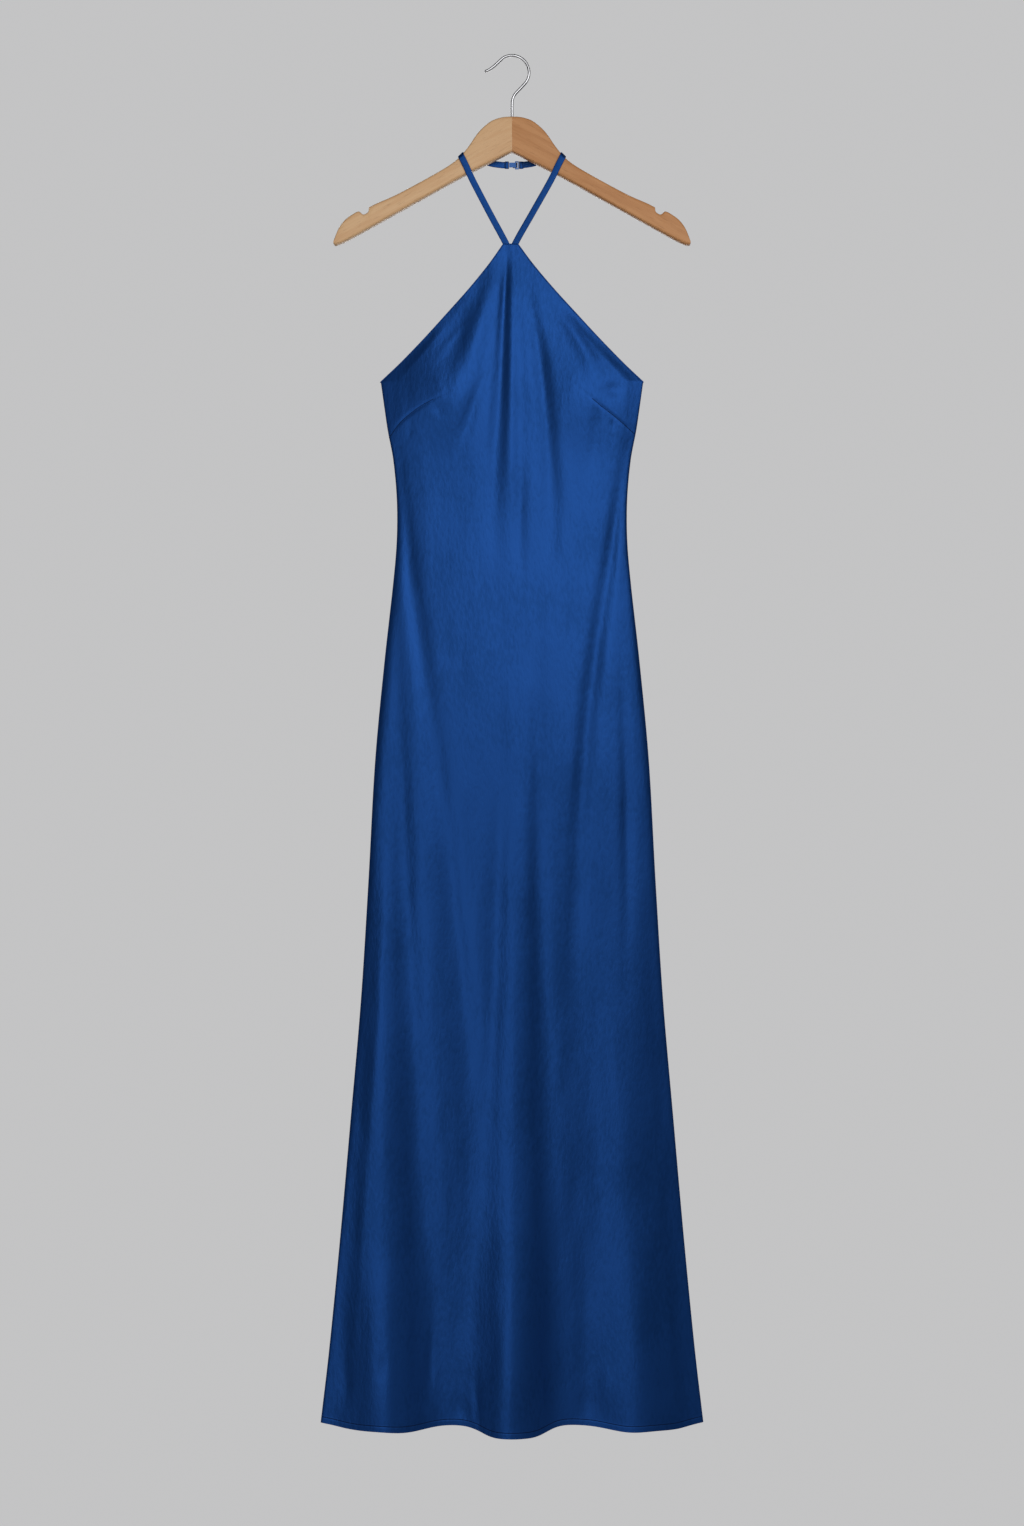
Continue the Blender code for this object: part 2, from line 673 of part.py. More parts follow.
def add_hanger_hook(material):
    """Round wire: flared tip, crown, neck and the shank that goes down into the wood."""
    centre_z = WIRE / 2 - HOOK_RADIUS
    first, last = (math.radians(a) for a in CROWN_ANGLES)
    crown = []
    for k in range(13):
        turn = first + (last - first) * k / 12
        crown.append((HOOK_RADIUS * math.cos(turn), 0.0, centre_z + HOOK_RADIUS * math.sin(turn)))
    route = [(p.x, 0.0, p.z) for p in HOOK_TIP] + crown + [(p.x, 0.0, p.z) for p in HOOK_NECK]
    line = curve_through(route, 2)
    sides = 10
    rings = []
    for i, place in enumerate(line):
        ahead = (line[min(i + 1, len(line) - 1)] - line[max(i - 1, 0)]).normalized()
        out = Vector((0.0, 1.0, 0.0)).cross(ahead)
        radius = WIRE / 2
        ring = []
        for k in range(sides):
            turn = 2 * math.pi * k / sides
            offset = out * math.cos(turn) + Vector((0.0, 1.0, 0.0)) * math.sin(turn)
            ring.append(place + offset * radius)
        rings.append(ring)
    ahead = (line[0] - line[1]).normalized()
    for push, shrink in ((0.75, 0.45), (0.45, 0.80)):
        centre = line[0] + ahead * WIRE / 2 * push
        base = [p - line[0] for p in rings[-len(line)]]
        rings.insert(0, [centre + offset * shrink for offset in base])
    rings[0], rings[1] = rings[1], rings[0]
    loft("hanger_hook", rings, material)


clear_scene()
satin = make_material("satin", SATIN_BLUE, 0.36, 0.0)
wood_light = make_material("wood_light", BEECH_LIGHT, 0.45, 0.0)
wood_dark = make_material("wood_dark", BEECH_DARK, 0.45, 0.0)
add_front(satin)
add_back(satin)
add_straps(satin)
fastening = make_material("fastening", METAL_BLUE, 0.3, 1.0)
add_nape_hook(fastening)
add_nape_bar(fastening)
add_hanger_arms(wood_light, wood_dark)
add_hanger_hook(make_material("chrome", CHROME, 0.12, 1.0))
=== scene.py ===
import math
from collections import namedtuple

import bmesh
import bpy
import numpy as np
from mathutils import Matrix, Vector


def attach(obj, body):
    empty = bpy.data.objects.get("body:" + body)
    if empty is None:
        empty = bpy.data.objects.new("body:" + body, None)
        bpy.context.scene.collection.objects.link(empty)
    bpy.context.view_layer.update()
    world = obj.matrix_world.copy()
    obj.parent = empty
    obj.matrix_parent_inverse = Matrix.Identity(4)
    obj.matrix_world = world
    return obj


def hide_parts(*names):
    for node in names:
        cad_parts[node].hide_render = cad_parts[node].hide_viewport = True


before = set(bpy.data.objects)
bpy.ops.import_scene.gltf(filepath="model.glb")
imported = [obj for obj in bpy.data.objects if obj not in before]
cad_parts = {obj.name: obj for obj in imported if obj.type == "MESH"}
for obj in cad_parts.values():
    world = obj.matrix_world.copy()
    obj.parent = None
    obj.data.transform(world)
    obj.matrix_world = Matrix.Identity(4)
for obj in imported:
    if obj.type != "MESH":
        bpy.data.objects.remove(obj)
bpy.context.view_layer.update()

# Front of the dress: one bias-cut piece of silky satin, shaped like a halter at the top, with a
# bust dart on each side and a narrow turned hem. It hangs from the two straps at its apex and is
# sewn to the back down both sides, so its fullness falls into soft folds that open at the hem.

APEX_X = -0.0017
UNDERARM_Z = -0.4052
HEM_SIDE_Z = -1.7018
HEM_MIDDLE_Z = -1.7045
HEM_LOW_Z = -1.7160
EDGE_POWER = 3.0  # how flat the panel's middle is, against its rounded sides
SIDE_CROWDING = 0.50  # how much closer the columns stand at the side seams
FOLD_START = 0.030  # the length in which a fold begins, above its head
FOLD_FADE = 0.86  # the share of the half width past which folds fade into the seam
SATIN_THICK = 0.0007
SEAM_GAP = 0.0003
HEM_HEIGHT = 0.0080
HEM_PROUD = 0.00035
HEM_TURN_LOW = 0.0004
HEM_TURN_HIGH = 0.0008
STITCH_DRAW = 0.00030
STITCH_INSET = 0.0008
STITCH_SPREAD = 0.0007
FRONT_COLUMNS = 190
BODICE_ROWS = 72
SKIRT_ROWS = 108
DART_ROWS = 64
DART_REACH = 0.095
HEM_ROWS = 12
HEM_LEAD = 1.4  # the hem heights that its closer rows take up
SMOOTH_UP_TO = math.radians(60)
SATIN_DEEP = (0.0112, 0.0610, 0.248)
SATIN_CLEAR = (0.0135, 0.0710, 0.290)
SATIN_LUSTRE = (0.15, 0.45, 1.0, 1.0)
BIAS = math.radians(-45)
TONE_LOW = 0.3
TONE_HIGH = 0.7
SLUB_SHARE = 0.9  # the weave's share in the colour, beside the soft clouds
SLUB_STRETCH = 0.4
CRINKLE_STRETCH = 0.28

Outline = namedtuple("Outline", "z half_width edge_y")
TOP_OUTLINE = (
    Outline(-0.2347, 0.0089, -0.0060),
    Outline(-0.2590, 0.0263, -0.0070),
    Outline(-0.2900, 0.0518, -0.0074),
    Outline(-0.3210, 0.0799, -0.0066),
    Outline(-0.3520, 0.1086, -0.0052),
    Outline(-0.3830, 0.1392, -0.0028),
    Outline(UNDERARM_Z, 0.1636, 0.0015),
)
SIDE_OUTLINE = (
    Outline(UNDERARM_Z, 0.1636, 0.0015),
    Outline(-0.4400, 0.1587, 0.0015),
    Outline(-0.4650, 0.1550, 0.0020),
    Outline(-0.5020, 0.1481, 0.0030),
    Outline(-0.5520, 0.1437, 0.0042),
    Outline(-0.6020, 0.1439, 0.0054),
    Outline(-0.6520, 0.1481, 0.0066),
    Outline(-0.7520, 0.1593, 0.0078),
    Outline(-0.8760, 0.1710, 0.0080),
    Outline(-1.0260, 0.1794, 0.0080),
    Outline(-1.1750, 0.1888, 0.0080),
    Outline(-1.3250, 0.2018, 0.0080),
    Outline(-1.4750, 0.2151, 0.0080),
    Outline(-1.6120, 0.2286, 0.0080),
    Outline(HEM_SIDE_Z, 0.2391, 0.0080),
)
Profile = namedtuple("Profile", "z front_y back_y roll")
PROFILE = (
    Profile(-0.2347, -0.0060, 0.0180, 0.00),
    Profile(-0.2900, -0.0085, 0.0180, 0.00),
    Profile(-0.3500, -0.0085, 0.0180, 0.30),
    Profile(-0.4200, -0.0082, 0.0186, 0.60),
    Profile(-0.5000, -0.0080, 0.0192, 0.75),
    Profile(-0.5800, -0.0075, 0.0192, 0.82),
    Profile(-0.6600, -0.0085, 0.0205, 0.86),
    Profile(-0.8000, -0.0112, 0.0238, 0.90),
    Profile(-0.9500, -0.0110, 0.0240, 0.90),
    Profile(-1.1000, -0.0085, 0.0230, 0.90),
    Profile(-1.2500, -0.0055, 0.0213, 0.90),
    Profile(-1.4000, -0.0030, 0.0190, 0.87),
    Profile(-1.5500, -0.0010, 0.0172, 0.82),
    Profile(-1.7100, 0.0000, 0.0160, 0.75),
)
Cup = namedtuple("Cup", "x z spread_x spread_z height")
CUPS = (
    Cup(-0.084, -0.424, 0.046, 0.056, 0.0085),
    Cup(0.098, -0.423, 0.056, 0.056, 0.0058),
)
HemDip = namedtuple("HemDip", "x drop spread")
HEM_DIPS = (
    HemDip(-0.196, 0.0066, 0.040),
    HemDip(-0.126, 0.0066, 0.036),
    HemDip(-0.024, 0.0090, 0.022),
    HemDip(0.003, 0.0062, 0.020),
    HemDip(0.030, 0.0090, 0.022),
    HemDip(0.145, 0.0056, 0.038),
    HemDip(0.205, 0.0056, 0.030),
)
FOLD_COLUMNS = (
    "name head_x head_z middle_x middle_z foot_x foot_z "
    "head_spread foot_spread head_depth middle_depth foot_depth"
)
Fold = namedtuple("Fold", FOLD_COLUMNS)
FRONT_FOLDS = (
    Fold("middle hollow", -0.0065, -0.2490, -0.0135, -0.3600, -0.0320, -0.7000,
         0.0050, 0.0160, 0.0, -0.0036, 0.0),
    Fold("right hollow", 0.0150, -0.2600, 0.0410, -0.4300, 0.0480, -0.7000,
         0.0060, 0.0150, 0.0, -0.0036, 0.0),
    Fold("left cup fold", -0.0180, -0.2560, -0.0440, -0.3500, -0.0760, -0.4700,
         0.0080, 0.0280, 0.0, 0.0044, 0.0),
    Fold("left drag", -0.1500, -0.4900, -0.0700, -1.1000, -0.0340, -1.6000,
         0.0090, 0.0220, -0.0030, -0.0046, 0.0),
    Fold("right drag", 0.1480, -0.4900, 0.0920, -0.8500, 0.0860, -1.3500,
         0.0080, 0.0150, -0.0030, -0.0045, 0.0),
    Fold("left hem wave", -0.148, -0.900, -0.158, -1.350, -0.154, HEM_LOW_Z,
         0.026, 0.044, 0.0, 0.0080, 0.0220),
    Fold("middle hem wave", 0.016, -0.740, 0.006, -1.300, 0.001, HEM_LOW_Z,
         0.020, 0.044, 0.0, 0.0090, 0.0300),
    Fold("right hem wave", 0.130, -0.900, 0.146, -1.350, 0.160, HEM_LOW_Z,
         0.026, 0.046, 0.0, 0.0080, 0.0220),
)


def smooth_step(low, high, value):
    share = np.clip((value - low) / (high - low), 0.0, 1.0)
    return share * share * (3 - 2 * share)


def smooth_through(keys, values, at):
    """Values on a smooth curve through a rising row of keys, read at many places."""
    slopes = np.empty(len(keys))
    slopes[1:-1] = (values[2:] - values[:-2]) / (keys[2:] - keys[:-2])
    slopes[0] = (values[1] - values[0]) / (keys[1] - keys[0])
    slopes[-1] = (values[-1] - values[-2]) / (keys[-1] - keys[-2])
    place = np.clip(np.searchsorted(keys, at) - 1, 0, len(keys) - 2)
    step = keys[place + 1] - keys[place]
    t = np.clip((at - keys[place]) / step, 0.0, 1.0)
    return (
        (2 * t**3 - 3 * t**2 + 1) * values[place]
        + (t**3 - 2 * t**2 + t) * slopes[place] * step
        + (3 * t**2 - 2 * t**3) * values[place + 1]
        + (t**3 - t**2) * slopes[place + 1] * step
    )


def read_column(rows, column, z):
    """One column of a table of falling z, read at many heights."""
    heights = np.array([row.z for row in rows])
    return smooth_through(-heights, np.array([getattr(row, column) for row in rows]), -z)


def fold_lift(folds, x, z):
    """How far the folds lift the cloth: soft ridges, each following its own curved line."""
    lift = np.zeros_like(x)
    for f in folds:
        head, middle, foot = f.head_z, f.middle_z, f.foot_z
        to_head = (z - middle) * (z - foot) / ((head - middle) * (head - foot))
        to_middle = (z - head) * (z - foot) / ((middle - head) * (middle - foot))
        to_foot = (z - head) * (z - middle) / ((foot - head) * (foot - middle))
        line = to_head * f.head_x + to_middle * f.middle_x + to_foot * f.foot_x
        along = (head - z) / (head - foot)
        spread = f.head_spread + (f.foot_spread - f.head_spread) * along
        upper = f.head_depth + (f.middle_depth - f.head_depth) * smooth_step(head, middle, z)
        lower = f.middle_depth + (f.foot_depth - f.middle_depth) * smooth_step(middle, foot, z)
        depth = np.where(z > middle, upper, lower)
        above = f.head_depth * smooth_step(head + FOLD_START, head, z)
        depth = np.where(z > head, above, np.where(z < foot - HEM_HEIGHT, 0.0, depth))
        lift += depth * np.exp(-(((x - line) / spread) ** 2))
    return lift


def cup_lift(cups, x, z):
    """The soft fullness that each bust dart gives, or a small dent or bump."""
    lift = np.zeros_like(x)
    for cup in cups:
        across = ((x - cup.x) / cup.spread_x) ** 2
        lift += cup.height * np.exp(-across - ((z - cup.z) / cup.spread_z) ** 2)
    return lift


def panel_bulge(u, roll):
    """The panel's bulge across its width: flat in the middle, rolled away at the sides."""
    fall = np.clip(1.0 - np.abs(u) ** EDGE_POWER, 0.0, 1.0)
    return fall ** (1.0 - roll * (1.0 - 1.0 / EDGE_POWER))


def column_shares(count):
    """Shares of the half width from side to side, closer together by the side seams."""
    even = np.linspace(-1.0, 1.0, count + 1)
    return SIDE_CROWDING * np.sin(even * math.pi / 2) + (1.0 - SIDE_CROWDING) * even


def hem_z(u):
    """Height of the hem's edge, which dips where a fold swings out."""
    x = SIDE_OUTLINE[-1].half_width * u
    dip = sum(row.drop * np.exp(-(((x - row.x) / row.spread) ** 2)) for row in HEM_DIPS)
    return HEM_MIDDLE_Z + (HEM_SIDE_Z - HEM_MIDDLE_Z) * u * u - dip


# The creases too fine for the main form, in the same columns as the folds.
FRONT_CREASES = (
    Fold("cup crease", -0.0350, -0.3850, -0.0500, -0.4400, -0.0640, -0.5000,
         0.0070, 0.0090, 0.0, -0.0022, 0.0),
    Fold("left bodice streak", -0.0540, -0.3250, -0.0760, -0.3550, -0.1020, -0.3950,
         0.0050, 0.0070, 0.0, 0.0004, 0.0),
    Fold("right bodice streak", 0.0560, -0.3100, 0.0840, -0.3560, 0.1060, -0.4200,
         0.0090, 0.0120, 0.0, 0.0026, 0.0),
    Fold("dart crease", 0.1060, -0.4250, 0.1050, -0.4600, 0.0940, -0.5400,
         0.0070, 0.0100, 0.0, -0.0013, 0.0),
    Fold("waist crease", 0.0130, -0.4700, 0.0110, -0.5700, 0.0130, -0.7000,
         0.0060, 0.0090, 0.0, -0.0012, 0.0),
    Fold("apex hollow", -0.0060, -0.2420, -0.0085, -0.2850, -0.0120, -0.3500,
         0.0045, 0.0060, -0.0003, -0.0022, 0.0),
    Fold("middle ridge", -0.0020, -0.2600, -0.0010, -0.4200, -0.0080, -0.6600,
         0.0050, 0.0110, 0.0, 0.0024, 0.0),
    Fold("beside the hollow", -0.0120, -0.2600, -0.0210, -0.3800, -0.0420, -0.6800,
         0.0060, 0.0150, 0.0, 0.0020, 0.0),
    Fold("left hem crease", -0.1000, -1.5700, -0.1020, -1.6300, -0.1030, -1.6800,
         0.0040, 0.0050, 0.0, -0.0014, 0.0),
    Fold("middle hem crease", -0.0440, -1.6200, -0.0440, -1.6700, -0.0400, -1.7040,
         0.0040, 0.0050, 0.0, -0.0018, -0.0006),
    Fold("left side groove", -0.1460, -0.6200, -0.1330, -1.0800, -0.1000, HEM_LOW_Z,
         0.0080, 0.0280, 0.0, -0.0066, -0.0046),
    Fold("left inner groove", -0.0150, -0.7400, -0.0200, -1.1000, -0.0380, -1.5500,
         0.0100, 0.0150, 0.0, -0.0034, 0.0),
    Fold("middle groove", 0.0330, -0.6800, 0.0350, -1.1000, 0.0550, HEM_LOW_Z,
         0.0080, 0.0210, 0.0, -0.0050, -0.0030),
    Fold("right side groove", 0.1330, -0.7000, 0.1430, -0.9400, 0.1380, -1.2200,
         0.0060, 0.0090, 0.0, -0.0030, 0.0),
    Fold("left dart tuck", -0.0980, -0.4286, -0.1210, -0.4420, -0.1530, -0.4744,
         0.0030, 0.0030, -0.0003, -0.0006, -0.0004),
    Fold("right dart tuck", 0.0996, -0.4273, 0.1200, -0.4437, 0.1528, -0.4702,
         0.0030, 0.0030, -0.0003, -0.0007, -0.0004),
)
# Small dents and bumps round the ends of the darts and along the hem, in the cups' columns.
FRONT_DENTS = (
    Cup(0.1258, -0.4165, 0.0105, 0.0100, -0.0019),
    Cup(0.1253, -0.4585, 0.0026, 0.0060, -0.0006),
    Cup(-0.0900, -0.4410, 0.0080, 0.0080, -0.0014),
    Cup(-0.1273, -0.4660, 0.0040, 0.0100, -0.0005),
    Cup(-0.1610, -1.6300, 0.0060, 0.0120, -0.0014),
    Cup(-0.0630, -1.6840, 0.0120, 0.0090, -0.0016),
    Cup(-0.2080, -1.6500, 0.0100, 0.0220, -0.0016),
    Cup(0.0930, -1.6770, 0.0090, 0.0110, -0.0016),
    Cup(0.1180, -1.6560, 0.0140, 0.0260, 0.0018),
    Cup(0.1950, -1.6780, 0.0160, 0.0120, 0.0016),
)


def panel_rows(rows, length):
    """Row heights as shares of the length, closer by the darts and in the turned hem."""
    last = length - HEM_LEAD * HEM_HEIGHT
    darts = np.linspace(0.0, DART_REACH, DART_ROWS)[:-1]
    between = np.linspace(DART_REACH, last, rows)
    hem = np.linspace(last, length, HEM_ROWS + 1)[1:]
    return np.concatenate([darts, between, hem]) / length


def hem_relief(below_top, length):
    """The turned hem stands a little proud, under a stitched line that is drawn in."""
    above = (1.0 - below_top) * length
    low, high = HEM_HEIGHT - HEM_TURN_LOW, HEM_HEIGHT + HEM_TURN_HIGH
    turned = HEM_PROUD * (1.0 - smooth_step(low, high, above))
    off_line = (above - HEM_HEIGHT + STITCH_INSET) / STITCH_SPREAD
    return turned - STITCH_DRAW * np.exp(-(off_line**2))


def front_face(u, x, z, edge_y):
    """Outer face of the front, where x and z lie at a share u of the half width."""
    fade = 1.0 - smooth_step(FOLD_FADE, 1.0, np.abs(u))
    bulge = edge_y - read_column(PROFILE, "front_y", z)
    lift = bulge * panel_bulge(u, read_column(PROFILE, "roll", z))
    lift += (fold_lift(FRONT_FOLDS, x, z) + fold_lift(FRONT_CREASES, x, z)) * fade
    lift += (cup_lift(CUPS, x, z) + cup_lift(FRONT_DENTS, x, z)) * fade
    return edge_y - SEAM_GAP / 2 - lift


def front_grid(columns, bodice_rows, skirt_rows):
    """Outer points of the front as an array of rows from the apex down to the hem."""
    u = column_shares(columns)[None, :]
    drop = np.linspace(0.0, 1.0, bodice_rows + 1)[:-1, None]
    top_row = TOP_OUTLINE[0].z + (UNDERARM_Z - TOP_OUTLINE[0].z) * drop
    length = UNDERARM_Z - HEM_SIDE_Z
    below = panel_rows(skirt_rows, length)[:, None]
    side_row = UNDERARM_Z - length * below
    half = [read_column(TOP_OUTLINE, "half_width", top_row)]
    half += [read_column(SIDE_OUTLINE, "half_width", side_row)]
    edge_y = [read_column(TOP_OUTLINE, "edge_y", top_row)]
    edge_y += [read_column(SIDE_OUTLINE, "edge_y", side_row)]
    half, edge_y = np.concatenate(half), np.concatenate(edge_y)
    shift = np.concatenate([APEX_X * (1.0 - drop) ** 2, 0.0 * below])
    x = half * u + shift
    z = np.concatenate([top_row + 0.0 * u, UNDERARM_Z + (hem_z(u) - UNDERARM_Z) * below])
    hem = np.concatenate([0.0 * drop, hem_relief(below, length)])
    return np.stack([x, front_face(u + 0.0 * x, x, z, edge_y) - hem, z], axis=-1)


def place_alone(name, data):
    """A new object in the scene, active and the only one selected."""
    made = bpy.data.objects.new(name, data)
    bpy.context.scene.collection.objects.link(made)
    bpy.ops.object.select_all(action="DESELECT")
    made.select_set(True)
    bpy.context.view_layer.objects.active = made
    return made


def cloth_from_grid(name, grid, facing):
    """A sheet of satin through a grid of points, with its thickness on the inner side."""
    rows, columns = grid.shape[:2]
    index = np.arange(rows * columns).reshape(rows, columns)
    a, b = index[:-1, :-1], index[:-1, 1:]
    c, d = index[1:, 1:], index[1:, :-1]
    corners = (a, d, c, b) if facing < 0 else (a, b, c, d)
    faces = np.stack([k.reshape(-1) for k in corners], axis=1)
    mesh = bpy.data.meshes.new(name)
    mesh.from_pydata(grid.reshape(-1, 3).tolist(), [], faces.tolist())
    sheet = place_alone(name, mesh)
    wall = sheet.modifiers.new("wall", "SOLIDIFY")
    wall.thickness = SATIN_THICK
    wall.offset = -1.0
    bpy.ops.object.modifier_apply(modifier=wall.name)
    sheet.data.shade_smooth()
    sheet.data.set_sharp_from_angle(angle=SMOOTH_UP_TO)
    return sheet


def node(tree, kind, **settings):
    """A shader node with its settings, or its sockets' values where the name is a socket's."""
    made = tree.nodes.new(kind)
    for key, value in settings.items():
        socket = made.inputs.get(key.replace("_", " "))
        if socket is None:
            setattr(made, key, value)
        else:
            socket.default_value = value
    return made


def new_material(name, **sockets):
    """A material with its shader's sockets set, and the tree and shader to build on."""
    material = bpy.data.materials.new(name)
    material.use_nodes = True
    shader = material.node_tree.nodes["Principled BSDF"]
    for key, value in sockets.items():
        shader.inputs[key.replace("_", " ")].default_value = value
    return material, material.node_tree, shader


def set_ramp(tone, *ends):
    """The two ends of a colour ramp, each a place and a colour."""
    for end, (place, colour) in zip(tone.color_ramp.elements, ends):
        end.position = place
        end.color = (*colour, 1.0)


def satin_material(name, coordinates, shade=1.0, weave=1.0):
    """Silky satin: a deep dye under a blue-tinted lustre, with faint slubs in the weave."""
    material, tree, shader = new_material(
        name, Metallic=0.75, Roughness=0.43, IOR=1.5, Specular_Tint=SATIN_LUSTRE
    )
    link = tree.links.new
    place = node(tree, "ShaderNodeTexCoord")
    turned = node(tree, "ShaderNodeMapping", Rotation=(0.0, BIAS, 0.0),
                  Scale=(1.0, 1.0, SLUB_STRETCH))
    link(place.outputs[coordinates], turned.inputs["Vector"])
    hanging = node(tree, "ShaderNodeMapping", Scale=(1.0, 1.0, CRINKLE_STRETCH))
    link(place.outputs[coordinates], hanging.inputs["Vector"])
    cloud = node(tree, "ShaderNodeTexNoise", Scale=9.0, Detail=3.0)
    link(place.outputs[coordinates], cloud.inputs["Vector"])
    tone = node(tree, "ShaderNodeValToRGB")
    # A shade below 1 darkens the dye: painted shade, giving a darker copy of the same satin for
    # the straps.
    deep, clear = ([shade * v for v in colour] for colour in (SATIN_DEEP, SATIN_CLEAR))
    set_ramp(tone, (TONE_LOW + SLUB_SHARE / 2, deep), (TONE_HIGH + SLUB_SHARE / 2, clear))
    link(tone.outputs["Color"], shader.inputs["Base Color"])
    slub = node(tree, "ShaderNodeTexNoise", Scale=270.0, Detail=3.0)
    link(turned.outputs["Vector"], slub.inputs["Vector"])
    grain = node(tree, "ShaderNodeMath", operation="MULTIPLY_ADD")
    grain.inputs[1].default_value = SLUB_SHARE
    link(slub.outputs["Fac"], grain.inputs[0])
    link(cloud.outputs["Fac"], grain.inputs[2])
    link(grain.outputs["Value"], tone.inputs["Fac"])
    crinkle = node(tree, "ShaderNodeTexNoise", Scale=30.0, Detail=1.0)
    link(hanging.outputs["Vector"], crinkle.inputs["Vector"])
    fine = node(tree, "ShaderNodeBump", Strength=0.40 * weave, Distance=0.0008)
    link(slub.outputs["Fac"], fine.inputs["Height"])
    broad = node(tree, "ShaderNodeBump", Strength=0.35 * weave, Distance=0.006)
    link(crinkle.outputs["Fac"], broad.inputs["Height"])
    link(fine.outputs["Normal"], broad.inputs["Normal"])
    link(broad.outputs["Normal"], shader.inputs["Normal"])
    return material


satin = satin_material("satin", "Object")
FRONT_GRID = front_grid(FRONT_COLUMNS, BODICE_ROWS, SKIRT_ROWS)
front = cloth_from_grid("front", FRONT_GRID, -1)
front.data.materials.append(satin)
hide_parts("front_panel")
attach(front, "root")

# Back of the dress: one plain piece of the same satin, cut straight across below the arms with
# a slight dip, turned in at the top, and hemmed like the front. Its folds echo the front's.

BACK_DIP = 0.030
DIP_POWER = 1.5
BACK_COLUMNS = 100
BACK_ROWS = 180
BACK_FOLDS = (
    Fold("waist left", -0.052, -0.470, -0.058, -0.620, -0.070, -0.900,
         0.018, 0.030, 0.0, 0.0035, 0.0),
    Fold("waist right", 0.060, -0.470, 0.054, -0.640, 0.058, -0.920,
         0.018, 0.030, 0.0, 0.0035, 0.0),
    Fold("left hem wave", -0.120, -0.760, -0.118, -1.280, -0.112, HEM_LOW_Z,
         0.020, 0.040, 0.0, 0.0080, 0.0160),
    Fold("middle hem wave", -0.020, -0.760, -0.015, -1.280, -0.008, HEM_LOW_Z,
         0.024, 0.042, 0.0, 0.0090, 0.0190),
    Fold("right hem wave", 0.092, -0.760, 0.102, -1.280, 0.116, HEM_LOW_Z,
         0.020, 0.040, 0.0, 0.0080, 0.0160),
)


def back_grid(columns, rows):
    """Outer points of the back, from its dipped top edge down to the hem."""
    u = column_shares(columns)[None, :]
    length = UNDERARM_Z - HEM_SIDE_Z
    drop = panel_rows(rows, length)[:, None]
    top = UNDERARM_Z - BACK_DIP * (1.0 - u * u) ** DIP_POWER
    z = top + (hem_z(u) - top) * drop
    nominal = top + (HEM_SIDE_Z - top) * drop
    x = read_column(SIDE_OUTLINE, "half_width", nominal) * u
    edge_y = read_column(SIDE_OUTLINE, "edge_y", nominal)
    fade = 1.0 - smooth_step(FOLD_FADE, 1.0, np.abs(u))
    bulge = read_column(PROFILE, "back_y", z) - edge_y
    lift = bulge * panel_bulge(u, read_column(PROFILE, "roll", z))
    lift += fold_lift(BACK_FOLDS, x, z) * fade + hem_relief(drop, length)
    return np.stack([x, edge_y + SEAM_GAP / 2 + lift, z], axis=-1)


BACK_GRID = back_grid(BACK_COLUMNS, BACK_ROWS)
back = cloth_from_grid("back", BACK_GRID, 1)
back.data.materials.append(satin)
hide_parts("back_panel")
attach(back, "root")

# Rolled edges and sewing: the armholes and the back's top are finished with a narrow roll of
# the same satin, sewn over. Each dart shows as a fine drawn-in seam from side to tip, drawn as a
# near-black thread that is painted shade of the seam's crease. The turned hems are held by one
# line of machine stitches, whose near-black colour is partly painted shade of the drawn-in line.

ROLL_RADIUS = 0.0009
SEAM_RADIUS = 0.00055
HEM_THREAD = 0.00045
HEM_THREAD_ROW = -9  # the row of a panel's grid that the stitches follow
THREAD_SIDES = 12
APEX_STEP = 10
BACK_TOP_STEP = 2
DART_STEPS = 8
DOME = (0.98, 0.85, 0.6, 0.3)  # steps of a wire's domed end, as shares of its radius
DartPoint = namedtuple("DartPoint", "x z")
LEFT_DART = (
    DartPoint(-0.1530, -0.4744),
    DartPoint(-0.1372, -0.4547),
    DartPoint(-0.1173, -0.4392),
    DartPoint(-0.0980, -0.4286),
)
RIGHT_DART = (
    DartPoint(0.1528, -0.4702),
    DartPoint(0.1315, -0.4522),
    DartPoint(0.1116, -0.4372),
    DartPoint(0.0996, -0.4273),
)


def curve_through(points, steps):
    """Points along a smooth curve through the given ones, each of which it keeps."""
    points = [Vector(p) for p in points]
    padded = [2 * points[0] - points[1], *points, 2 * points[-1] - points[-2]]
    found = []
    for a, b, c, d in zip(padded, padded[1:], padded[2:], padded[3:]):
        for t in (k / steps for k in range(steps)):
            bend = (2 * a - 5 * b + 4 * c - d) * t * t + (3 * b - a - 3 * c + d) * t**3
            found.append(0.5 * (2 * b + (c - a) * t + bend))
    return found + [points[-1]]


def bent_wire(name, line, radius, sides):
    """Round wire along a line, a bevelled curve turned into a mesh, with its first end domed."""
    outwards = (line[0] - line[1]).normalized() * radius
    dome = [(line[0] + outwards * share, math.sqrt(1.0 - share * share)) for share in DOME]
    route = [*dome, *((p, 1.0) for p in line)]
    curve = bpy.data.curves.new(name, "CURVE")
    curve.dimensions = "3D"
    curve.bevel_depth = radius
    curve.bevel_resolution = sides // 4
    curve.use_fill_caps = True
    spline = curve.splines.new("POLY")
    spline.points.add(len(route) - 1)
    for point, (place, share) in zip(spline.points, route):
        point.co = (*place, 1.0)
        point.radius = share
    place_alone(name, curve)
    bpy.ops.object.convert(target="MESH")
    wire = bpy.context.object
    wire.data.shade_smooth()
    return wire


def on_front(x, z):
    """A point of the front's outer face below the underarm."""
    side = np.array([z])
    half = read_column(SIDE_OUTLINE, "half_width", side)
    y = front_face(np.array([x]) / half, np.array([x]), side,
                   read_column(SIDE_OUTLINE, "edge_y", side))
    return Vector((x, float(y[0]), z))


def sewn_line(name, line, radius, material):
    """A roll or a thread along a line of the satin."""
    made = bent_wire(name, line, radius, THREAD_SIDES)
    made.data.materials.append(material)
    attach(made, "root")


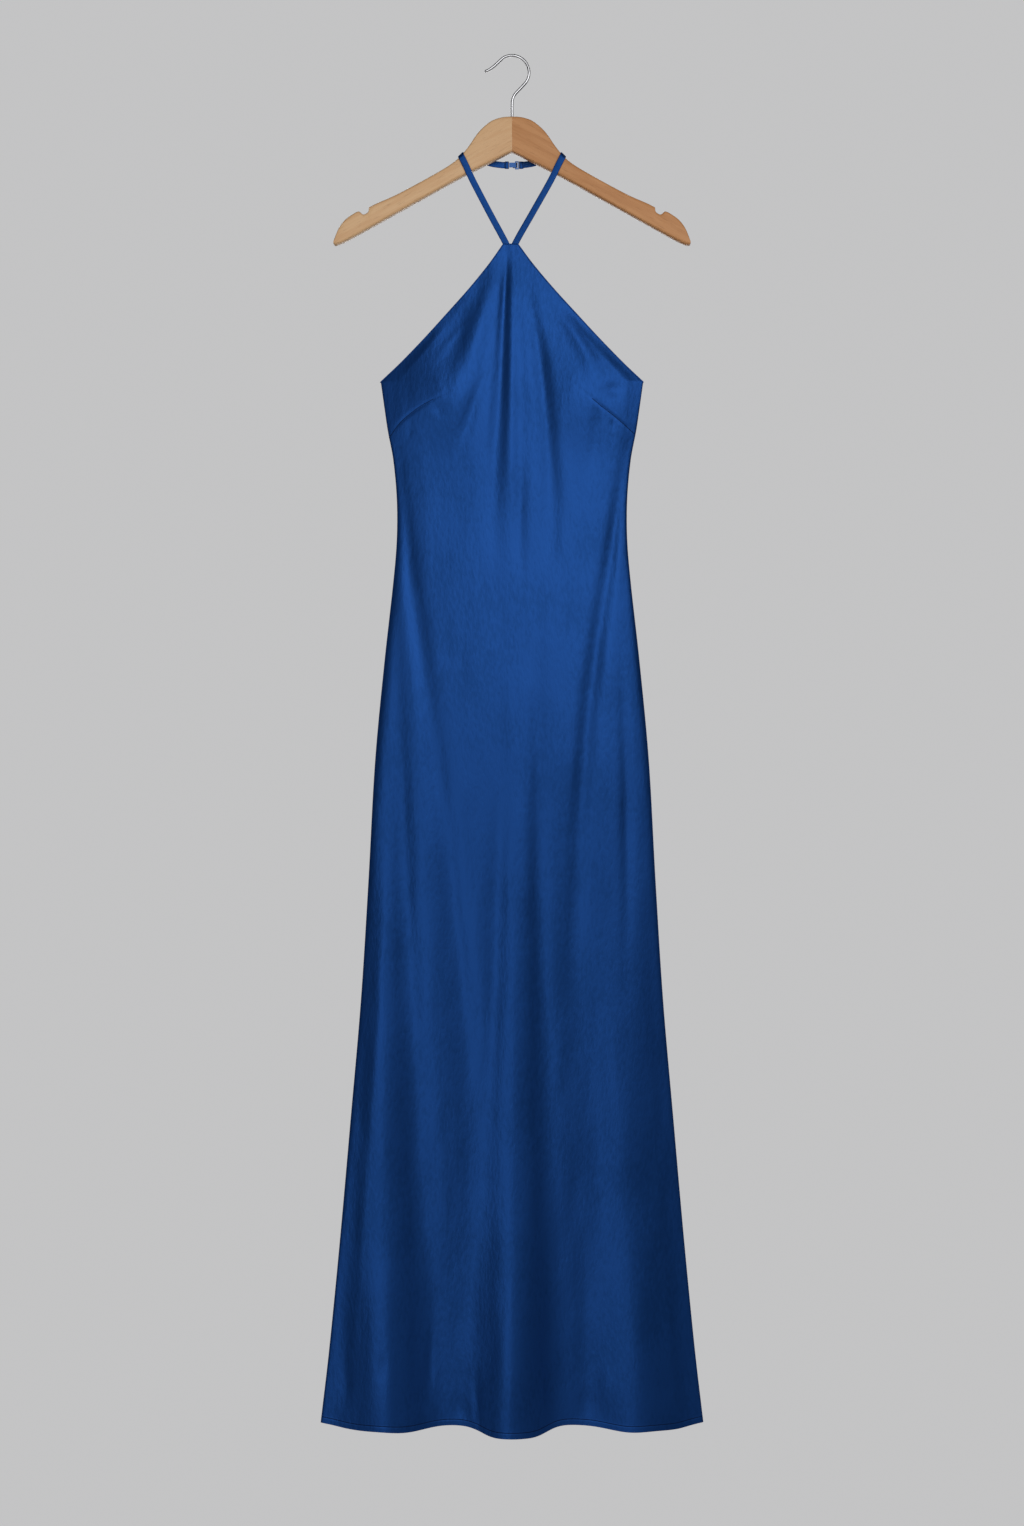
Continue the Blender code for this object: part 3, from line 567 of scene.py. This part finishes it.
def thread_material(name, colour):
    """Sewing thread: dull, with a fine twist in its surface."""
    material, tree, shader = new_material(
        name, Base_Color=(*colour, 1.0), Roughness=0.65, Specular_IOR_Level=0.08
    )
    place = node(tree, "ShaderNodeTexCoord")
    twist = node(tree, "ShaderNodeTexNoise", Scale=2200.0, Detail=2.0)
    relief = node(tree, "ShaderNodeBump", Strength=0.3, Distance=0.0001)
    tree.links.new(place.outputs["Object"], twist.inputs["Vector"])
    tree.links.new(twist.outputs["Fac"], relief.inputs["Height"])
    tree.links.new(relief.outputs["Normal"], shader.inputs["Normal"])
    return material


# This thread's near-black colour is painted shade: on the darts it stands for the shaded crease,
# on the hems partly for the drawn-in stitch line.
thread_with_painted_shade = thread_material("thread with painted shade", (0.003, 0.014, 0.060))
inwards = Vector((0.0, SATIN_THICK / 2, 0.0))
armholes = [Vector(p) + inwards for p in FRONT_GRID[BODICE_ROWS:0:-1, 0]]
armholes += [Vector(p) + inwards for p in FRONT_GRID[0, ::APEX_STEP]]
armholes += [Vector(p) + inwards for p in FRONT_GRID[1:BODICE_ROWS + 1, -1]]
sewn_line("armhole_roll", armholes, ROLL_RADIUS, satin)
back_top = [Vector(p) - inwards for p in BACK_GRID[0, ::BACK_TOP_STEP]]
sewn_line("back_top_roll", back_top, ROLL_RADIUS, satin)
for dart_name, dart in (("left_dart_seam", LEFT_DART), ("right_dart_seam", RIGHT_DART)):
    route = [(p.x, 0.0, p.z) for p in dart]
    line = [on_front(p.x, p.z) + inwards for p in curve_through(route, DART_STEPS)]
    sewn_line(dart_name, line, SEAM_RADIUS, thread_with_painted_shade)
for hem_name, panel in (("front_hem_stitch", FRONT_GRID), ("back_hem_stitch", BACK_GRID)):
    thread = [Vector(p) for p in panel[HEM_THREAD_ROW, 1:-1]]
    sewn_line(hem_name, thread, HEM_THREAD, thread_with_painted_shade)

# Halter straps: two narrow strips of the same satin, folded and turned out to 8 mm. Each is
# caught in the apex, lies over the hanger's shoulder and ends in a stitched fold at the nape.

STRAP_WIDTH = 0.0080
STRAP_CLOTH = 0.0013
STRAP_SEAT = 0.0007
STRAP_LEAN = 0.325  # how far it shifts along the shoulder for each length across it
STRAP_CROSSING_X = -0.0642
STRAP_EDGE_SLOPE = math.radians(45.0)
STRAP_HOLD_DEPTH = 0.0130
STRAP_STEPS = 6
STRAP_SIDES = 20
WRAP_STEP = 15
SOFT_EDGE = 0.25  # these two powers give the strip's section its soft corners
SOFT_FACE = 0.55
TAB_WIDTH = 0.0092
TAB_CLOTH = 0.0026
NAPE_Y = 0.0135
NAPE_Z = -0.1316
LEFT_TAB = (-0.0092, -0.0039)
RIGHT_TAB = (0.0142, 0.0087)
HALF_SPAN = 0.2210
ARM_SWEEP = 0.0150
ARM_THICKNESS = 0.0140
ARM_ROUNDING = 0.0038
StrapPoint = namedtuple("StrapPoint", "x y z")
STRAP_FRONT = (
    StrapPoint(-0.0049, -0.0038, -0.2460),
    StrapPoint(-0.0051, -0.0039, -0.2400),
    StrapPoint(-0.0060, -0.0042, -0.2330),
    StrapPoint(-0.0270, -0.0074, -0.1955),
    StrapPoint(-0.0480, -0.0107, -0.1575),
)
STRAP_BACK = (
    StrapPoint(-0.0400, 0.0080, -0.1262),
    StrapPoint(-0.0260, 0.0112, -0.1300),
    StrapPoint(-0.0140, 0.0130, -0.1314),
)
TabStep = namedtuple("TabStep", "share wide thick")
TAB_STEPS = (
    TabStep(0.10, 1.00, 0.85),
    TabStep(0.30, 1.00, 1.00),
    TabStep(0.70, 1.00, 1.00),
    TabStep(0.92, 1.00, 0.80),
    TabStep(1.00, 0.94, 0.35),
)
ArmStation = namedtuple("ArmStation", "x top bottom")
ARM = (
    ArmStation(0.0000, -0.0753, -0.1190),
    ArmStation(0.0075, -0.0757, -0.1226),
    ArmStation(0.0149, -0.0770, -0.1264),
    ArmStation(0.0256, -0.0812, -0.1320),
    ArmStation(0.0362, -0.0897, -0.1375),
    ArmStation(0.0439, -0.0984, -0.1416),
    ArmStation(0.0529, -0.1118, -0.1462),
    ArmStation(0.0621, -0.1236, -0.1511),
    ArmStation(0.0690, -0.1305, -0.1550),
    ArmStation(0.0802, -0.1388, -0.1613),
    ArmStation(0.0984, -0.1498, -0.1718),
    ArmStation(0.1228, -0.1637, -0.1858),
    ArmStation(0.1469, -0.1766, -0.1996),
    ArmStation(0.1772, -0.1910, -0.2170),
    ArmStation(0.1777, -0.1950, -0.2173),
    ArmStation(0.1792, -0.1976, -0.2181),
    ArmStation(0.1846, -0.2000, -0.2212),
    ArmStation(0.1898, -0.1963, -0.2242),
    ArmStation(0.1983, -0.2005, -0.2290),
    ArmStation(0.2073, -0.2075, -0.2338),
    ArmStation(0.2145, -0.2172, -0.2370),
    ArmStation(0.2190, -0.2278, -0.2382),
    ArmStation(0.2210, -0.2340, -0.2370),
)


def arm_top(x):
    """Height of the hanger's top edge."""
    return float(np.interp(x, [row.x for row in ARM], [row.top for row in ARM]))


def strap_wrap():
    """Centres and faces of the left strap over the hanger, in a straight line when unrolled."""
    sweep = ARM_SWEEP / HALF_SPAN
    to_middle = Vector((1.0, sweep, 0.0)).normalized()
    back_way = Vector((-sweep, 1.0, 0.0)).normalized()
    up = Vector((0.0, 0.0, 1.0))
    along = to_middle * math.cos(STRAP_EDGE_SLOPE) + up * math.sin(STRAP_EDGE_SLOPE)
    out = up * math.cos(STRAP_EDGE_SLOPE) - to_middle * math.sin(STRAP_EDGE_SLOPE)
    crossing = abs(STRAP_CROSSING_X)
    middle = Vector((STRAP_CROSSING_X, -sweep * crossing, arm_top(crossing)))
    lift = STRAP_SEAT + STRAP_CLOTH / 2
    half = ARM_THICKNESS / 2
    round_out = ARM_ROUNDING * math.cos(STRAP_EDGE_SLOPE)
    bend_out, bend_back = round_out + lift, ARM_ROUNDING + lift
    flat = 2 * (half - ARM_ROUNDING)
    quarter = (bend_out + bend_back) * math.pi / 4
    stops = [(-STRAP_HOLD_DEPTH, -half - lift, -back_way, -STRAP_HOLD_DEPTH)]
    for side, turns in ((-1.0, range(0, 91, WRAP_STEP)), (1.0, range(90, -1, -WRAP_STEP))):
        for degrees in turns:
            turn = math.radians(degrees)
            face = out * math.sin(turn) / bend_out
            face += back_way * side * math.cos(turn) / bend_back
            rise = bend_out * math.sin(turn) - round_out
            run = quarter * degrees / 90
            if side > 0:
                run = 2 * quarter + flat - run
            depth = side * (flat / 2 + bend_back * math.cos(turn))
            stops.append((rise, depth, face.normalized(), run - round_out))
    return [
        (middle + out * rise + back_way * depth + along * run * STRAP_LEAN, face)
        for rise, depth, face, run in stops
    ]


def strap_stations(side, tab):
    """Centre, face, width and thickness along one strap, from the apex to its folded end."""
    forwards, backwards = Vector((0.0, -1.0, 0.0)), Vector((0.0, 1.0, 0.0))
    apex_z, hanger_z = TOP_OUTLINE[0].z, arm_top(abs(STRAP_CROSSING_X))
    wrap = strap_wrap()
    rising = [Vector(p) for p in STRAP_FRONT] + [wrap[0][0], wrap[1][0]]
    stations = [(p, forwards) for p in curve_through(rising, STRAP_STEPS)[:-1]] + wrap[1:]
    behind = [wrap[-1][0]] + [Vector(p) for p in STRAP_BACK]
    behind.append(Vector((-side * tab[0], NAPE_Y, NAPE_Z)))
    stations += [(p, backwards) for p in curve_through(behind, STRAP_STEPS)[1:]]
    made = []
    for centre, face in stations:
        shift = 0.0
        if face.y < 0:
            shift = APEX_X * (1.0 - float(smooth_step(apex_z, hanger_z, centre.z)))
        place = Vector((centre.x * -side + shift, centre.y, centre.z))
        made.append((place, Vector((face.x * -side, face.y, face.z)), STRAP_WIDTH, STRAP_CLOTH))
    for step in TAB_STEPS:
        place = Vector((tab[0] + (tab[1] - tab[0]) * step.share, NAPE_Y, NAPE_Z))
        made.append((place, backwards, TAB_WIDTH * step.wide, TAB_CLOTH * step.thick))
    return made


def loft(name, rings):
    """A closed skin over a row of rings that all have as many points."""
    around, last = len(rings[0]), len(rings) - 1
    faces = [tuple(range(around - 1, -1, -1)), tuple(range(last * around, (last + 1) * around))]
    for i in range(last):
        for k in range(around):
            a, b = around * i + k, around * i + (k + 1) % around
            faces.append((a, b, b + around, a + around))
    mesh = bpy.data.meshes.new(name)
    mesh.from_pydata([point for ring in rings for point in ring], [], faces)
    shape = bmesh.new()
    shape.from_mesh(mesh)
    bmesh.ops.recalc_face_normals(shape, faces=shape.faces)
    shape.to_mesh(mesh)
    shape.free()
    mesh.shade_smooth()
    return place_alone(name, mesh)


def ribbon(name, stations, around):
    """A soft-edged strap through its stations, its UV running along and across the strip."""
    profile = []
    for turn in (2 * math.pi * k / around for k in range(around)):
        wide, thick = math.cos(turn), math.sin(turn)
        profile.append((0.5 * math.copysign(abs(wide) ** SOFT_EDGE, wide),
                        0.5 * math.copysign(abs(thick) ** SOFT_FACE, thick)))
    rings, run, runs = [], 0.0, []
    last = len(stations) - 1
    for i, (centre, face, width, thick) in enumerate(stations):
        ahead = stations[min(i + 1, last)][0] - stations[max(i - 1, 0)][0]
        side = face.cross(ahead).normalized()
        face = ahead.cross(side).normalized()
        run += (centre - stations[max(i - 1, 0)][0]).length
        runs.append(run)
        rings.append([centre + side * w * width + face * t * thick for w, t in profile])
    strap = loft(name, rings)
    layer = strap.data.uv_layers.new(name="strip")
    for corner in strap.data.loops:
        station, k = divmod(corner.vertex_index, around)
        layer.data[corner.index].uv = (profile[k][0] * STRAP_WIDTH, runs[station])
    return strap


# The straps' satin is the dress's satin with its dye darkened to 0.72: painted shade.
strap_satin_painted_shade = satin_material("strap satin with painted shade", "UV", shade=0.72, weave=0.3)
for end, side, tab in (("left", -1.0, LEFT_TAB), ("right", 1.0, RIGHT_TAB)):
    strap = ribbon(f"satin_strap_{end}", strap_stations(side, tab), STRAP_SIDES)
    strap.data.materials.append(strap_satin_painted_shade)
    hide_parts(f"strap_{end}")
    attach(strap, "root")

# Nape fastening: a small bent hook and a flat loop in dyed metal, held in the straps' folded
# ends and caught in each other. Their ends are sewn in with short stitches, whose pale colour is
# partly a painted glint.

STITCH_LENGTH = 0.0015
STITCH_RADIUS = 0.00020
STITCH_SIDES = 8
FACES_BACK = 0.9
POLISH_RANGE = 0.05
StitchRow = namedtuple("StitchRow", "first last across count")
RIGHT_STITCHES = (
    StitchRow(0.0100, 0.0225, 0.0011, 6),
    StitchRow(0.0100, 0.0225, -0.0014, 6),
)
LEFT_STITCHES = (
    StitchRow(-0.0112, -0.0088, 0.0014, 2),
    StitchRow(-0.0112, -0.0088, -0.0012, 2),
)


def metal_material(name, colour, roughness):
    """Bare metal with a faint unevenness in its polish."""
    material, tree, shader = new_material(name, Base_Color=(*colour, 1.0), Metallic=1.0)
    place = node(tree, "ShaderNodeTexCoord")
    cloud = node(tree, "ShaderNodeTexNoise", Scale=350.0, Detail=3.0)
    polish = node(tree, "ShaderNodeMapRange",
                  To_Min=roughness - POLISH_RANGE, To_Max=roughness + POLISH_RANGE)
    tree.links.new(place.outputs["Object"], cloud.inputs["Vector"])
    tree.links.new(cloud.outputs["Fac"], polish.inputs["Value"])
    tree.links.new(polish.outputs["Result"], shader.inputs["Roughness"])
    return material


dyed_metal = metal_material("dyed metal", (0.035, 0.085, 0.23), 0.36)
for name in ("nape_hook", "nape_bar"):
    fastening = bpy.data.objects[name]
    fastening.data.materials.clear()
    fastening.data.materials.append(dyed_metal)

# The stitches are real; their pale colour is partly a painted glint.
stitch_thread_with_painted_glint = thread_material("stitch thread with painted glint", (0.10, 0.24, 0.60))
stitches = []
for side, tab, rows in ((-1.0, LEFT_TAB, LEFT_STITCHES), (1.0, RIGHT_TAB, RIGHT_STITCHES)):
    behind = [station for station in strap_stations(side, tab) if station[1].y > FACES_BACK]
    behind.sort(key=lambda station: station[0].x)
    strap_x = [station[0].x for station in behind]
    strap_y = [centre.y - thick / 2 for centre, face, width, thick in behind]
    strap_z = [station[0].z for station in behind]
    for row in rows:
        for x in np.linspace(row.first, row.last, row.count):
            y = np.interp(x, strap_x, strap_y)
            z = np.interp(x, strap_x, strap_z) + row.across
            bowed = [
                Vector((x - STITCH_LENGTH / 2, y, z)),
                Vector((x, y - STITCH_RADIUS, z)),
                Vector((x + STITCH_LENGTH / 2, y, z)),
            ]
            stitches.append(bent_wire("nape_stitch", bowed, STITCH_RADIUS, STITCH_SIDES))
bpy.ops.object.select_all(action="DESELECT")
for stitch in stitches:
    stitch.select_set(True)
bpy.context.view_layer.objects.active = stitches[0]
bpy.ops.object.join()
nape_stitches = bpy.context.object
nape_stitches.name = "nape_stitches"
nape_stitches.data.materials.append(stitch_thread_with_painted_glint)
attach(nape_stitches, "root")

# Hanger: two shaped halves of pale beech, mitred and glued at the middle, edges rounded over,
# with a notch near each tip. The right half is of redder wood, and its darker tone is partly
# painted shade, for the lesser light that falls on that half as the arms sweep forward.

MITRE_GAP = 0.00004
TIP_ROUNDING = 0.45
CORNER_STEPS = 6
RING_STEP = 0.25
ARM_SMOOTH_UP_TO = math.radians(40)
GRAIN_SLOPE = 0.50
GRAIN_STRETCH = 0.06
GRAIN_LOW = 0.32
GRAIN_HIGH = 0.66
FLECK_SHADE = 0.62


def arm_ring(x, top, bottom, side):
    """A cross-section of the arm: a rounded rectangle in the plane of its station."""
    half = ARM_THICKNESS / 2
    rounding = min(ARM_ROUNDING, TIP_ROUNDING * (top - bottom))
    corners = (
        (half - rounding, top - rounding, 0),
        (rounding - half, top - rounding, 90),
        (rounding - half, bottom + rounding, 180),
        (half - rounding, bottom + rounding, 270),
    )
    ring = []
    for y, z, first in corners:
        for k in range(CORNER_STEPS + 1):
            turn = math.radians(first + 90 * k / CORNER_STEPS)
            depth = y + rounding * math.cos(turn) - ARM_SWEEP * x / HALF_SPAN
            ring.append((side * max(x, MITRE_GAP / 2), depth, z + rounding * math.sin(turn)))
    return ring


def hanger_arm(name, side):
    """One half: rings through a smooth curve along the arm, closed by its mitre and its tip."""
    stations = np.array(ARM)
    places = np.arange(0, len(ARM) - 1 + RING_STEP, RING_STEP)
    x = np.interp(places, np.arange(len(ARM)), stations[:, 0])
    top, bottom = (smooth_through(stations[:, 0], stations[:, k], x) for k in (1, 2))
    arm = loft(name, [arm_ring(*row, side) for row in zip(x, top, bottom)])
    arm.data.set_sharp_from_angle(angle=ARM_SMOOTH_UP_TO)
    return arm


def wood_material(name, pale, deep, slope):
    """Varnished beech: long soft grain along the arm, fine pores and short darker flecks."""
    material, tree, shader = new_material(name, Roughness=0.42, Specular_IOR_Level=0.3)
    link = tree.links.new
    place = node(tree, "ShaderNodeTexCoord")
    turned = node(tree, "ShaderNodeMapping", Rotation=(0.0, slope, 0.0))
    link(place.outputs["Object"], turned.inputs["Vector"])
    stretched = node(tree, "ShaderNodeMapping", Scale=(GRAIN_STRETCH, 1.0, 1.0))
    link(turned.outputs["Vector"], stretched.inputs["Vector"])
    grain = node(tree, "ShaderNodeTexNoise", Scale=170.0, Detail=5.0, Distortion=0.3)
    fleck = node(tree, "ShaderNodeTexNoise", Scale=900.0, Detail=2.0)
    for texture in (grain, fleck):
        link(stretched.outputs["Vector"], texture.inputs["Vector"])
    tone = node(tree, "ShaderNodeValToRGB")
    set_ramp(tone, (GRAIN_LOW, deep), (GRAIN_HIGH, pale))
    link(grain.outputs["Fac"], tone.inputs["Fac"])
    mark = node(tree, "ShaderNodeMapRange", From_Min=0.60, From_Max=0.72, To_Min=0.0, To_Max=0.45)
    link(fleck.outputs["Fac"], mark.inputs["Value"])
    mixed = node(tree, "ShaderNodeMix", data_type="RGBA")
    link(mark.outputs["Result"], mixed.inputs["Factor"])
    link(tone.outputs["Color"], mixed.inputs[6])
    mixed.inputs[7].default_value = (*(FLECK_SHADE * v for v in deep), 1.0)
    link(mixed.outputs[2], shader.inputs["Base Color"])
    pores = node(tree, "ShaderNodeBump", Strength=0.12, Distance=0.0003)
    link(fleck.outputs["Fac"], pores.inputs["Height"])
    link(pores.outputs["Normal"], shader.inputs["Normal"])
    return material


# The right half's tones are darker partly as painted shade; its redder hue is the wood's own.
for end, side, slot, pale, deep in (
    ("left", -1.0, "wood_light", (1.0, 0.640, 0.345), (0.90, 0.530, 0.265)),
    ("right", 1.0, "wood_dark", (0.82, 0.400, 0.168), (0.69, 0.310, 0.118)),
):
    arm = hanger_arm(f"beech_arm_{end}", side)
    arm.data.materials.append(wood_material(f"beech {end}", pale, deep, -side * GRAIN_SLOPE))
    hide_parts(f"hanger_arm_{end}")
    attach(arm, "root")

# Hanger hook: one length of 3.6 mm chromed steel wire, bent to a crown with a flared, rounded
# tip. Its shank goes straight down into the mitre joint of the wood.

WIRE = 0.0036
HOOK_RADIUS = 0.0212
CROWN_FIRST = 122.0
CROWN_LAST = -40.0
CROWN_STEPS = 12
HOOK_STEPS = 5
HOOK_SIDES = 24
HOOK_TIP = ((-0.0325, -0.0179), (-0.0290, -0.0163), (-0.0235, -0.0125), (-0.0170, -0.0066))
HOOK_NECK = ((0.0098, -0.0400), (0.0040, -0.0462), (0.0009, -0.0520), (0.0, -0.0590),
             (0.0, -0.0790), (0.0, -0.0985))


def hook_line():
    """The wire's middle line, from its tip over the crown and down the shank."""
    centre_z = WIRE / 2 - HOOK_RADIUS
    crown = []
    for k in range(CROWN_STEPS + 1):
        turn = math.radians(CROWN_FIRST + (CROWN_LAST - CROWN_FIRST) * k / CROWN_STEPS)
        crown.append((HOOK_RADIUS * math.cos(turn), centre_z + HOOK_RADIUS * math.sin(turn)))
    return [(x, 0.0, z) for x, z in (*HOOK_TIP, *crown, *HOOK_NECK)]


hook = bent_wire("hook", curve_through(hook_line(), HOOK_STEPS), WIRE / 2, HOOK_SIDES)
hook.data.materials.append(metal_material("chrome", (0.60, 0.60, 0.62), 0.13))
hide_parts("hanger_hook")
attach(hook, "root")

# The room: a plain pale floor in a soft grey surround, which lights the dress only faintly. A
# large soft box stands before it, one high on the right, one low on the left and two behind,
# and the camera is about level with the middle of dress and hanger together.

GREY = (0.55, 0.55, 0.555, 1.0)
GREY_LIGHT = 0.20
scene = bpy.context.scene
scene.view_settings.view_transform = "Standard"
world = bpy.data.worlds.new("soft grey")
world.use_nodes = True
tree = world.node_tree
surround = tree.nodes["Background"]
surround.inputs["Color"].default_value = GREY
rays = node(tree, "ShaderNodeLightPath")
level = node(tree, "ShaderNodeMapRange", To_Min=GREY_LIGHT)
tree.links.new(rays.outputs["Is Camera Ray"], level.inputs["Value"])
tree.links.new(level.outputs["Result"], surround.inputs["Strength"])
scene.world = world


def soft_box(name, place, target, size, power):
    """A square soft box at a place, turned towards its target."""
    bpy.ops.object.light_add(type="AREA", location=place)
    light = bpy.context.object
    light.name = name
    light.data.shape = "SQUARE"
    light.data.size = size
    light.data.energy = power
    aim = Vector(target) - Vector(place)
    light.rotation_euler = aim.to_track_quat("-Z", "Y").to_euler()


soft_box("key", (0.45, -3.2, 0.3), (0.0, 0.0, -0.5), 2.0, 29.5)
soft_box("upper right", (2.0, -2.3, 0.2), (0.0, 0.0, -0.4), 1.2, 11.0)
soft_box("lower left", (-1.4, -2.9, -1.4), (0.0, 0.0, -1.1), 1.8, 13.0)
soft_box("behind", (-0.45, 3.0, 0.3), (0.0, 0.0, -0.6), 2.0, 34.0)
soft_box("behind, low", (0.8, 2.9, -1.6), (0.0, 0.0, -1.2), 1.6, 12.0)

FLOOR_Z = -2.1
FLOOR_RADIUS = 0.85
FLOOR_CLEAR = 0.25
bpy.ops.mesh.primitive_circle_add(vertices=96, radius=FLOOR_RADIUS, fill_type="NGON",
                                  location=(0.0, 0.0, FLOOR_Z))
floor = bpy.context.object
floor.name = "floor"
floor_paint, tree, shader = new_material(
    "pale floor", Base_Color=(0.80, 0.80, 0.80, 1.0), Roughness=0.7,
    Emission_Color=GREY, Emission_Strength=0.45,
)
place = node(tree, "ShaderNodeTexCoord")
distance = node(tree, "ShaderNodeVectorMath", operation="LENGTH")
fading = node(tree, "ShaderNodeMapRange", To_Min=1.0, To_Max=0.0,
              From_Min=FLOOR_CLEAR * FLOOR_RADIUS, From_Max=FLOOR_RADIUS)
tree.links.new(place.outputs["Object"], distance.inputs[0])
tree.links.new(distance.outputs["Value"], fading.inputs["Value"])
tree.links.new(fading.outputs["Result"], shader.inputs["Alpha"])
floor.data.materials.append(floor_paint)

CAMERA_DISTANCE = 3.0
CAMERA_HEIGHT = -0.880
FOCAL_PIXELS = 2407.0
PICTURE_HEIGHT = 1526.0
SENSOR = 36.0
camera_data = bpy.data.cameras.new("camera")
camera_data.sensor_width = SENSOR
camera_data.lens = SENSOR * FOCAL_PIXELS / PICTURE_HEIGHT
camera = bpy.data.objects.new("camera", camera_data)
scene.collection.objects.link(camera)
camera.location = (0.0, -CAMERA_DISTANCE, CAMERA_HEIGHT)
camera.rotation_euler = (math.radians(90), 0.0, 0.0)
scene.camera = camera
